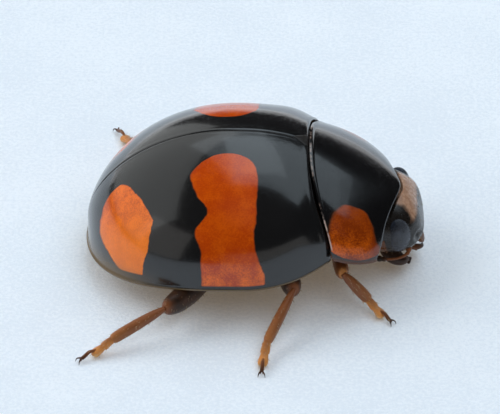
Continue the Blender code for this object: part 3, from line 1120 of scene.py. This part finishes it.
def buildEyes():
    # six-sided lenses: the dual of a ball of triangles, each face drawn out and narrowed
    material = principled("eyeLens", eyeShader)
    for side, name in ((1, "left"), (-1, "right")):
        node = "eye_" + name
        centre = inFrame((eyeCentre[0], side * eyeCentre[1], eyeCentre[2]))
        sizes = dict(eyeShape, centreX=float(centre[0]), centreY=float(centre[1]), centreZ=float(centre[2]))
        graph, _, size = newTree(node, sizes)
        ball = graph.node("GeometryNodeMeshIcoSphere", None, {"Radius": 1.0, "Subdivisions": size["facets"]})
        hexes = graph.node("GeometryNodeDualMesh", None, {"Mesh": ball})
        half = graph.vector(size["scaleX"] * mm, size["scaleY"] * mm, size["scaleZ"] * mm)
        middle = graph.vector(size["centreX"], size["centreY"], size["centreZ"])
        placed = graph.node("GeometryNodeTransform", None,
                            {"Geometry": hexes, "Translation": middle, "Scale": half})
        drawn = graph.node("GeometryNodeExtrudeMesh", {"mode": "FACES"}, {
            "Mesh": placed, "Offset Scale": size["lens"] * mm, "Individual": True})
        narrowed = graph.node("GeometryNodeScaleElements", {"domain": "FACE"}, {
            "Geometry": drawn, "Selection": drawn.out("Top"), "Scale": size["lensScale"]})
        smooth = graph.node("GeometryNodeSetShadeSmooth", None, {"Geometry": narrowed})
        endTree(graph, smooth, material)
        wear(runTree("eye_facets_" + name, graph, sizes), "eye", node)
    print("eyes built")


feeler = {
    # x, outwards, z, and the eleven segments' half widths along that line
    "line": [(2.96, 0.70, 0.80), (2.95, 0.84, 0.70), (2.77, 0.95, 0.65), (2.52, 0.98, 0.64),
             (2.25, 0.95, 0.66)],
    "segments": [0.060, 0.042, 0.034, 0.030, 0.028, 0.028, 0.029, 0.031, 0.052, 0.066, 0.058],
    "lengths": [1.7, 0.9, 1.1, 0.8, 0.8, 0.75, 0.75, 0.7, 1.0, 1.1, 1.2],
    "waist": 0.55,
    "tone": 0.40,
    "clubDarker": 0.32,
}


def onSide(side, places):
    # the same rows on the left, where side is 1, or on the right, where it is -1
    return [(x, side * y, *others) for x, y, *others in places]


def beaded(line, widths, lengths, waist, steps=5):
    # rows of a jointed stalk along the line: each joint swells, and narrows to a waist at both ends
    path = spline(line, 16)
    run = np.concatenate([[0.0], np.cumsum(np.linalg.norm(np.diff(path, axis=0), axis=1))])
    share = np.concatenate([[0.0], np.cumsum(lengths)]) / sum(lengths)
    rows = []
    for index, width in enumerate(widths):
        for step in range(steps):
            t = (step + 0.5) / steps
            at = (share[index] + (share[index + 1] - share[index]) * t) * run[-1]
            swell = waist + (1 - waist) * math.sin(math.pi * min(t * 0.8 + 0.1, 1.0)) ** 0.6
            place = [np.interp(at, run, path[:, k]) for k in range(3)]
            rows.append((*place, width * swell, width * swell * 0.9))
    return rows


def buildAntennae(material):
    for side, name in ((1, "left"), (-1, "right")):
        skin = Skin()
        rows = beaded(onSide(side, feeler["line"]), feeler["segments"], feeler["lengths"], feeler["waist"])
        rings = sweep(rows, 2, 12)
        club = np.linspace(0.0, 1.0, len(rings))
        skin.add(rings, feeler["tone"] - feeler["clubDarker"] * ease(club, 0.62, 0.8), 0.5)
        wear(skin.build("antenna_joints_" + name, material), "limb", "antenna_" + name)
    print("antennae built")


mouthParts = {
    "palpLine": [(2.62, 0.42, 0.52), (2.77, 0.52, 0.43), (2.90, 0.57, 0.36), (3.03, 0.60, 0.33)],
    "palpJoints": [0.050, 0.065, 0.052, 0.115],
    "palpLengths": [0.8, 1.2, 0.8, 1.3],
    "jawLine": [(2.92, 0.26, 0.50), (3.10, 0.24, 0.42), (3.22, 0.14, 0.37), (3.25, 0.03, 0.36)],
    "jawWidths": [0.10, 0.085, 0.055, 0.012],
    "jawTones": (0.34, 0.06),
    "stipes": [(2.48, 0.48, 0.62, 0.13, 0.11), (2.64, 0.62, 0.50, 0.18, 0.15), (2.82, 0.66, 0.42, 0.15, 0.12),
               (2.96, 0.60, 0.39, 0.06, 0.05)],
    "lip": [(2.98, 0.0, 0.68, 0.243, 0.03), (3.10, 0.0, 0.62, 0.27, 0.035), (3.20, 0.0, 0.54, 0.2484, 0.035),
            (3.26, 0.0, 0.47, 0.162, 0.028), (3.27, 0.0, 0.44, 0.08, 0.01)],
    "chin": [(2.72, 0.0, 0.44, 0.16, 0.05), (2.90, 0.0, 0.38, 0.17, 0.06), (3.05, 0.0, 0.36, 0.12, 0.05),
             (3.12, 0.0, 0.36, 0.04, 0.02)],
    "lipPalp": [(3.00, 0.10, 0.34), (3.09, 0.15, 0.30), (3.16, 0.16, 0.29)],
    "lipPalpJoints": [0.030, 0.034, 0.028],
    "lipPalpLengths": [1, 1, 1.2],
}


def buildMouth(material):
    m = mouthParts
    jaws = Skin()
    for side in (1, -1):
        rows = [(*place, w, w * 0.7) for place, w in zip(onSide(side, m["jawLine"]), m["jawWidths"])]
        jaws.tube(rows, 8, 14, m["jawTones"])
    # upper lip: a thin rounded plate that hangs over the jaws
    jaws.add(sweep(m["lip"], 6, 24, square=2.6), 0.26, 0.9)
    # lower lip and its two short palps, between the jaws
    jaws.add(sweep(m["chin"], 6, 18), 0.22, 0.4)
    for side in (1, -1):
        rows = beaded(onSide(side, m["lipPalp"]), m["lipPalpJoints"], m["lipPalpLengths"], 0.6)
        jaws.add(sweep(rows, 2, 10), 0.42, 0.5)
    jawPiece = wear(jaws.build("mouth_jaws", material), "limb", "jaws")
    for side, name in ((1, "left"), (-1, "right")):
        skin = Skin()
        line = onSide(side, m["palpLine"])
        rows = np.array(beaded(line, m["palpJoints"], m["palpLengths"], 0.5, 7))
        # the last joint is an axe head, cut off broad at its end
        last = len(rows) * 3 // 4
        t = np.linspace(0.0, 1.0, len(rows) - last)
        rows[last:, 3] = m["palpJoints"][3] * (0.45 + 0.62 * t) * (1 - 0.35 * (t > 0.93))
        rows[last:, 4] = 0.055 * (1.0 - 0.35 * t)
        skin.tube(rows, 2, 14, m["jawTones"], 0.5)
        skin.add(sweep(onSide(side, m["stipes"]), 8, 20), 0.12, 0.6)
        wear(skin.build("palp_joints_" + name, material), "limb", "palp_" + name)
    print("mouthparts built")
    return jawPiece


trunk = {
    "tail": -3.02,
    "waist": -0.65,          # hind edge of the thorax
    "collar": 1.17,          # hind edge of the prothorax
    "shoulders": 1.62,       # from here the prothorax narrows to the neck
    "neck": 2.30,
    "inset": 0.24,           # clear of the wing cases
    "shieldInset": 0.34,
    "jointAt": 1.26,
    "jointFill": 0.17,
    "jointHalf": 0.22,
    "belly": 0.36,
    "chest": 0.52,
    "plateEdges": [-1.18, -1.56, -1.90, -2.22, -2.52],
    "edgeDepth": 0.035,
    "edgeSweep": 0.20,
    # where the plates of the thorax meet: x, how far the line bows forward at the sides, depth
    "seams": [(-0.65, 0.10, 0.05), (0.36, -0.12, 0.035), (0.86, 0.10, 0.03), (1.17, 0.05, 0.10)],
    "sides": 96,
}
hips = {
    # x, outwards, height, half length along the body, half width across
    "front": (1.52, 0.42, 0.74, 0.16, 0.24),
    "mid": (0.42, 0.55, 0.66, 0.17, 0.26),
    "hind": (-0.80, 0.52, 0.60, 0.15, 0.36),
}


def trunkRing(x, turn):
    # over the back below the shell, then round under the belly
    t = trunk
    if x < t["collar"]:
        width = wingWidth(wingCase, x) - t["inset"] - 0.22 * ease(x, t["collar"] - 0.5, t["collar"])
        margin = wingMargin(wingCase, x) + 0.02
        rise = wingRise(wingCase, x) - t["inset"]
        depth = t["belly"] * (wingWidth(wingCase, x) / wingCase["halfWidth"]) ** 0.7 + max(margin - 0.97, 0.0)
    else:
        width = shieldWidth(shield, x) - t["shieldInset"]
        margin, crest = shieldHeights(shield, x)
        rise = crest - margin - t["shieldInset"]
        depth = t["chest"]
        narrow = arch(max(x - t["shoulders"], 0.0) / (t["neck"] - t["shoulders"]), 2.0, 2.0)
        width, rise, depth = width * narrow, rise * narrow, depth * narrow
    # fuller under the joint between pronotum and wing cases, so that nothing shows through it
    width = max(width + t["jointFill"] * hump((x - t["jointAt"]) / t["jointHalf"]), 0.02)
    rise = max(rise, 0.02)
    up, down = np.maximum(np.cos(turn), 0.0), np.maximum(-np.cos(turn), 0.0)
    y = width * np.sin(turn)
    z = margin + rise * up ** 0.96 - depth * down ** 0.75
    return np.stack([np.full_like(turn, x), y, z], -1)


def buildTrunk(material):
    t = trunk
    turn = np.linspace(0.0, 2 * halfTurn, t["sides"], endpoint=False)
    abdomen = t["tail"] + (t["waist"] - t["tail"]) * np.linspace(0.0, 1.0, 150) ** 1.2
    stations = np.concatenate([abdomen, np.linspace(t["waist"], t["collar"], 90)[1:],
                               np.linspace(t["collar"], t["neck"], 50)[1:]])
    rings = np.array([trunkRing(x, turn) for x in stations])
    x, y = rings[..., 0], rings[..., 1]
    under = ease(-np.cos(turn), 0.0, 0.25)[None] + 0 * x
    share = y / np.maximum(np.abs(y).max(1, keepdims=True), 1e-6)
    cut = 0.0 * x
    for edge in t["plateEdges"]:
        line = edge - t["edgeSweep"] * (share ** 2) * 0.5
        step = ease(x - line, -0.015, 0.02) * ease(line + 0.16 - x, 0.0, 0.16)
        cut += t["edgeDepth"] * step
    # arcs behind the hind hips, the midline of the breast plate, and the seams of the thorax
    arc = np.hypot((x + 0.72) / 0.42, (np.abs(y) - 0.80) / 0.62)
    cut += 0.018 * hump((arc - 1.0) / 0.05) * (x < -0.70)
    cut += 0.022 * hump(y / 0.025) * ease(x, -0.62, -0.50) * ease(x, 0.42, 0.30)
    for edge, bow, depth in t["seams"]:
        cut += depth * hump((x - edge - bow * share ** 2) / 0.03)
    cut += 0.02 * hump((np.abs(y) - 1.25 + 0.12 * x) / 0.03) * ease(x, -0.62, -0.5) * ease(x, 0.85, 0.7)
    out = normalsOf(rings)
    rings = rings - out * (cut * under)[..., None]
    skin = Skin()
    skin.add(rings, 0.10 + 0.35 * ease(np.abs(share), 0.72, 0.98) * under, under * 0.8, (-1.0, 0.0, -0.15))
    # short hips that the legs grow from
    for cx, cy, cz, ahead, wide in hips.values():
        for side in (1, -1):
            start = (cx, side * (cy - wide), cz)
            end = (cx + 0.04, side * (cy + wide), cz + 0.03)
            wides = (0.02, ahead * 0.7, ahead, ahead * 0.8, 0.03)
            rows = rowsAlong(start, end, (0.0, 0.12, 0.4, 0.75, 1.0), wides, (0.02, 0.12, 0.16, 0.13, 0.02))
            skin.add(sweep(rows, 6, 20), 0.30, 0.6, (-0.6, 0.0, -0.6))
    piece = skin.build("trunk_skin", material)
    wear(piece, "underside", "prothorax", "thorax", "abdomen")
    print("trunk built")
    return piece


legRoots = {
    "front": (1.56, 0.72, 0.70),
    "mid": (0.47, 0.85, 0.62),
    "hind": (-0.83, 0.90, 0.58),
}
legs = {
    # knee and ankle as x, outwards, z; then the end of the pads and the claws as x, outwards
    "front_right": [(1.69, 1.80, 0.88), (2.19, 1.85, 0.30), (2.46, 2.08), (2.64, 2.25)],
    "mid_right": [(0.74, 2.25, 0.82), (0.24, 3.21, 0.27), (0.16, 3.68), (0.15, 3.93)],
    "hind_right": [(-1.74, 2.67, 0.64), (-2.74, 3.20, 0.28), (-3.08, 3.40), (-3.36, 3.575)],
    "front_left": [(1.60, 1.80, 0.88), (1.98, 2.04, 0.30), (2.18, 2.28), (2.37, 2.53)],
    "mid_left": [(0.72, 2.22, 0.84), (0.42, 3.26, 0.27), (0.44, 3.62), (0.46, 3.94)],
    "hind_left": [(-1.70, 2.62, 0.66), (-2.56, 3.44, 0.28), (-2.77, 3.86), (-2.94, 4.22)],
}
legShape = {
    "femurWide": (0.10, 0.18, 0.240, 0.260, 0.245, 0.175, 0.08),
    "femurTall": (0.09, 0.15, 0.190, 0.200, 0.190, 0.135, 0.06),
    "femurBow": 0.17,        # the hind femora curve forwards by this
    "femurShares": (0.0, 0.12, 0.35, 0.62, 0.84, 0.96, 1.0),
    "tibiaWide": (0.050, 0.062, 0.090, 0.112, 0.112, 0.096, 0.050),
    "tibiaTall": (0.050, 0.058, 0.080, 0.096, 0.096, 0.084, 0.045),
    "tibiaShares": (0.0, 0.06, 0.22, 0.55, 0.85, 0.97, 1.0),
    "padHeight": 0.085,
    "tipHeight": 0.02,
    "frontSlim": 0.70,       # how thick the front femora are, against the others
    "frontPaler": 0.45,
    "clawLength": 0.115,
    "clawWidth": 0.020,
}


def buildLegs(material):
    s = legShape
    skins = []
    for where, (knee, ankle, pad, tip) in legs.items():
        pair, side = where.split("_")
        places = [legRoots[pair], knee, ankle, (*pad, s["padHeight"]), (*tip, s["tipHeight"])]
        places = onSide(-1 if side == "right" else 1, places)
        root, knee, ankle, pad, tip = [np.array(place) for place in places]
        down = np.array((0.0, 0.0, -1.0))
        skin = Skin()
        # femur, flattened, with its knee
        slim = s["frontSlim"] if pair == "front" else 1.0
        forwards = (s["femurBow"] if pair == "hind" else 0.0, 0.0, 0.0)
        rows = rowsAlong(root, knee, s["femurShares"], [slim * v for v in s["femurTall"]],
                         [slim * v for v in s["femurWide"]], 0.03, forwards)
        paler = s["frontPaler"] if pair == "front" else 0.0
        rings = sweep(rows, 6, 22)
        skin.add(rings, between(0.12, 0.42, ease(np.linspace(0, 1, len(rings)), 0.75, 1.0)) + paler, 0.35)
        # tibia, with a slight outward bow and two spurs at its end
        bow = (knee - between(root, ankle, 0.5)) * 0.015
        rows = rowsAlong(knee, ankle, s["tibiaShares"], s["tibiaTall"], s["tibiaWide"], -0.012, bow)
        rings = sweep(rows, 6, 20, square=2.3)
        skin.add(rings, between(0.46, 0.74, np.linspace(0, 1, len(rings)) ** 2), 0.8)
        shin = (ankle - knee) / np.linalg.norm(ankle - knee)
        across = np.cross(shin, (0.0, 0.0, 1.0))
        across /= np.linalg.norm(across)
        for way in (1, -1):
            base = ankle - shin * 0.03 + across * way * 0.055
            end = base + shin * 0.10 + across * way * 0.03 - (0, 0, 0.02)
            rows = [(*base, 0.014, 0.014), (*between(base, end, 0.6), 0.010, 0.010), (*end, 0.002, 0.002)]
            skin.add(sweep(rows, 4, 8), 0.7, 0.0)
        # foot: two lobed joints with pads, a hidden third, and the slender claw joint that arches over
        middle = between(ankle, pad, 0.46)
        middle[2] = between(ankle, pad, 0.52)[2]
        around = np.linspace(0.0, 2 * halfTurn, 16, endpoint=False)
        overTop = 0.30 * np.maximum(np.sin(around), 0.0)[None]     # the upper face is darker than the pads
        first = [(*(ankle - shin * 0.05), 0.066, 0.062), (*between(ankle, middle, 0.30), 0.082, 0.074),
                 (*between(ankle, middle, 0.80), 0.092, 0.076), (*middle, 0.084, 0.064),
                 (*(middle + (middle - ankle) * 0.10), 0.03, 0.02)]
        second = [(*(middle - (middle - ankle) * 0.15), 0.066, 0.056),
                  (*between(middle, pad, 0.30), 0.084, 0.070), (*between(middle, pad, 0.72), 0.102, 0.078),
                  (*pad, 0.086, 0.066), (*(pad + (pad - middle) * 0.16), 0.02, 0.014)]
        for rows, tones in ((first, (0.85, 1.15)), (second, (1.0, 1.35))):
            rings = sweep(rows, 5, len(around))
            skin.add(rings, np.linspace(*tones, len(rings))[:, None] - overTop, 1.0)
        start = between(middle, pad, 0.55) + (0, 0, 0.035)
        high = between(start, tip, 0.45) + (0, 0, 0.075)
        wrist = tip - (tip - pad) * 0.24 + (0, 0, 0.045)
        last = [(*start, 0.026, 0.026), (*between(start, high, 0.5), 0.030, 0.029), (*high, 0.034, 0.032),
                (*between(high, wrist, 0.6), 0.040, 0.036), (*wrist, 0.037, 0.033),
                (*(wrist + (wrist - high) * 0.12), 0.012, 0.010)]
        skin.tube(last, 5, 14, (0.55, 0.08), 0.5)
        name = "leg_" + where
        piece = wear(skin.build(name + "_skin", material), "limb",
                     name + "_femur", name + "_tibia", name + "_tarsus")
        skins.append(piece)
        # two hooked claws with a tooth at the root
        ahead = tip - pad
        ahead[2] = 0.0
        ahead /= np.linalg.norm(ahead)
        across = np.cross(ahead, (0.0, 0.0, 1.0))
        hooks = Skin()
        reach, thick = s["clawLength"], s["clawWidth"]
        for way in (1, -1):
            out = ahead * 0.85 + across * way * 0.52
            line = [wrist - ahead * 0.01, wrist + out * reach * 0.45 + (0, 0, 0.012),
                    wrist + out * reach * 0.95 - (0, 0, 0.008),
                    wrist + out * reach * 1.15 - (0, 0, wrist[2] - 0.006)]
            widths = (thick, thick * 0.85, thick * 0.55, 0.003)
            hooks.tube([(*p, w, w) for p, w in zip(line, widths)], 6, 10, (0.25, 0.05))
            tooth = [wrist + out * 0.02, wrist + out * reach * 0.36 + down * 0.02,
                     wrist + out * reach * 0.44 + down * 0.045]
            hooks.add(sweep([(*p, w, w) for p, w in zip(tooth, (0.014, 0.012, 0.003))], 4, 8), 0.2, 0.0)
        wear(hooks.build("claws_" + where, material), "foot")
    print("legs built")
    return skins


coat = {
    "perSquareMm": 160.0,
    "length": 0.075,
    "radius": 0.0042,
    "stand": 0.42,
    "jitter": 0.16,
    "curl": 0.22,
    "shortest": 0.6,         # of the length
    "longest": 1.15,
    "seed": 11,
}
coatLowest = 0.02            # above the floor, where a hair starts to bend flat
tuftPatch = 0.003            # each hair's share of the coat's map


def buildCoat(skins):
    material = principled("setae", hairShader)
    for index, (name, skin, changes) in enumerate(skins):
        sizes = dict(coat, seed=coat["seed"] + index, **changes)
        wear(growHairs(name, skin, sizes, material), "limb")
    print("setae grown")


scutellumPlate = {
    "round": 0.07,
    "proud": 0.016,
    # share of the height, inset
    "levels": ((-0.12, 0.0), (-0.004, 0.0), (0.55, 0.012), (0.90, 0.035), (1.0, 0.075)),
}


def roundedOutline(corners, cut, steps=9):
    # each corner is a curve that starts and ends this far from it
    outline = []
    for before, corner, after in zip(corners[-1:] + corners[:-1], corners, corners[1:] + corners[:1]):
        before, corner, after = [np.asarray(p, float) for p in (before, corner, after)]
        start = corner + (before - corner) / np.linalg.norm(before - corner) * cut
        end = corner + (after - corner) / np.linalg.norm(after - corner) * cut
        for t in np.linspace(0.0, 1.0, steps):
            outline.append((1 - t) ** 2 * start + 2 * t * (1 - t) * corner + t * t * end)
    return np.array(outline)


def buildScutellum(material):
    p = scutellumPlate
    low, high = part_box("scutellum")
    front, back = high.x / mm - bodyOrigin[0], low.x / mm - bodyOrigin[0]
    half = (high.y - low.y) / 2 / mm
    outline = roundedOutline([(front, -half), (front, half), (back, 0.0)], p["round"])
    middle = outline.mean(0)
    rings = []
    for height, inset in p["levels"]:
        reach = np.linalg.norm(outline - middle, axis=1, keepdims=True)
        flat = middle + (outline - middle) * (1 - inset / reach)
        width = wingWidth(wingCase, flat[:, 0])
        lift = wingRise(wingCase, flat[:, 0]) * np.sqrt(1 - (flat[:, 1] / width) ** 2)
        z = wingMargin(wingCase, flat[:, 0]) + lift + p["proud"] * height
        rings.append(np.column_stack([flat, z]))
    skin = Skin()
    skin.add(rings)
    wear(skin.build("scutellum_plate", material), "shell", "scutellum")
    print("scutellum built")


# the floor's warm glow below is painted bounce light, which lifts and warms the shadow under the animal
floorColours = {
    "pale": (0.75, 0.84, 0.935, 1.0),
    "shade": (0.67, 0.77, 0.88, 1.0),
    "paintedBounce": (1.0, 0.73, 0.44, 1.0),
}
floorPaintedBounce = 0.11
floorHalf = 0.6


def floorShader(graph):
    place = graph.objectPlace()
    drift = graph.noise(place, 0.35, 3.0, 0.6)
    grain = graph.noise(place, 13.0, 4.0, 0.75)
    tone = graph.mix(ease(drift * 0.3 + grain * 0.7, 0.42, 0.58), floorColours["shade"], floorColours["pale"])
    return {"Base Color": tone, "Roughness": 0.9, "Specular IOR Level": 0.2,
            "Emission Color": floorColours["paintedBounce"], "Emission Strength": floorPaintedBounce,
            "Normal": graph.bump(grain, 0.04, 0.60)}


def buildFloor():
    working = bmesh.new()
    bmesh.ops.create_grid(working, x_segments=2, y_segments=2, size=floorHalf)
    mesh = bpy.data.meshes.new("floor")
    working.to_mesh(mesh)
    working.free()
    addObject("floor", mesh, principled("floorPaper", floorShader))


def aimed(azimuth, elevation):
    # a direction away from the animal: azimuth 0 is its left side, 90 its head
    a, e = math.radians(azimuth), math.radians(elevation)
    return Vector((math.sin(a) * math.cos(e), math.cos(a) * math.cos(e), math.sin(e)))


softboxes = {
    # azimuth, elevation and roll in degrees, distance, width, height, brightness, colour, shows in the gloss
    "overhead": (2.6, 60.0, 27.0, 0.20, 0.105, 0.160, 0.75, (0.80, 0.92, 1.0), True),
    "overheadSide": (40.0, 59.6, 40.0, 0.20, 0.177, 0.187, 1.15, (0.76, 0.90, 1.0), True),
    "behind": (-62.0, 33.0, 0.0, 0.25, 0.500, 0.262, 0.78, (0.96, 1.0, 1.0), True),
    "left": (-125.0, 18.0, 0.0, 0.25, 0.190, 0.145, 0.55, (1.0, 0.98, 0.95), True),
    "low": (152.0, 8.0, 0.0, 0.30, 0.375, 0.076, 0.45, (1.0, 0.98, 0.95), True),
    "backdrop": (0.0, 3.8, 0.0, 0.07, 0.160, 0.0090, 1.05, (0.97, 0.98, 1.0), True),
    "fill": (-80.0, 40.0, 0.0, 0.40, 0.300, 0.300, 2.15, (1.0, 0.98, 0.97), False),
    "frontFill": (150.0, 58.0, 0.0, 0.40, 0.280, 0.280, 1.9, (0.86, 0.93, 1.0), False),
    "topFill": (75.0, 70.0, 0.0, 0.40, 0.250, 0.250, 0.55, (0.84, 0.93, 1.0), False),
}
skyColour = (0.9, 0.95, 1.0, 1.0)
skyStrength = 0.12


def buildLights():
    for name, box in softboxes.items():
        azimuth, elevation, roll, distance, width, height, brightness, colour, glossy = box
        data = bpy.data.lights.new(name, "AREA")
        data.shape = "RECTANGLE"
        data.size = width
        data.size_y = height
        data.energy = brightness * math.pi * width * height
        data.color = colour
        lamp = bpy.data.objects.new(name, data)
        scene.collection.objects.link(lamp)
        way = aimed(azimuth, elevation)
        lamp.location = way * distance
        lamp.rotation_mode = "QUATERNION"
        turned = Quaternion((0.0, 0.0, 1.0), math.radians(roll))
        lamp.rotation_quaternion = way.to_track_quat("Z", "Y") @ turned
        lamp.visible_camera = False
        lamp.visible_glossy = glossy
    world = bpy.data.worlds.new("studio")
    scene.world = world
    world.use_nodes = True
    graph = Graph(world.node_tree)
    sky = graph.node("ShaderNodeBackground", None, {"Color": skyColour, "Strength": skyStrength})
    graph.node("ShaderNodeOutputWorld", None, {"Surface": sky})
    world.cycles_visibility.glossy = False
    scene.view_settings.view_transform = "Standard"


view = {
    "azimuth": 1.0,
    "elevation": 35.6,
    "distance": 0.100,
    "across": 0.009804,      # width of the view at the animal
    "sensor": 36.0,
    "aimX": -0.00014,
    "aimY": 0.00017,
}


def buildCamera():
    a, e = math.radians(view["azimuth"]), math.radians(view["elevation"])
    back = Vector((math.sin(a) * math.cos(e), -math.cos(a) * math.cos(e), math.sin(e)))
    right = Vector((math.cos(a), math.sin(a), 0.0))
    up = back.cross(right)
    middle = Vector([float(v) for v in inFrame((0.0, 0.0, wingCase["marginHeight"]))])
    aim = middle + right * view["aimX"] + up * view["aimY"]
    data = bpy.data.cameras.new("camera")
    data.sensor_width = view["sensor"]
    data.lens = view["sensor"] * view["distance"] / view["across"]
    data.clip_start = 0.001
    data.clip_end = 10.0
    camera = bpy.data.objects.new("camera", data)
    scene.collection.objects.link(camera)
    camera.location = aim + back * view["distance"]
    camera.rotation_mode = "QUATERNION"
    camera.rotation_quaternion = back.to_track_quat("Z", "Y")
    scene.camera = camera


cuticle = principled("legCuticle", cuticleShader)
buildWingCases()
buildPronotum()
buildScutellum(cuticle)
head = buildHead()
buildEyes()
buildAntennae(cuticle)
mouth = buildMouth(cuticle)
belly = buildTrunk(cuticle)
legSkins = buildLegs(cuticle)
coats = [(f"setae_{piece.name}", piece, {}) for piece in legSkins]
coats.append(("setae_trunk", belly, {"length": 0.06, "stand": 0.25, "perSquareMm": 110.0}))
coats.append(("setae_head", head, {"length": 0.05, "perSquareMm": 60.0}))
coats.append(("setae_mouth", mouth, {"length": 0.06}))
buildCoat(coats)
buildFloor()
buildLights()
buildCamera()
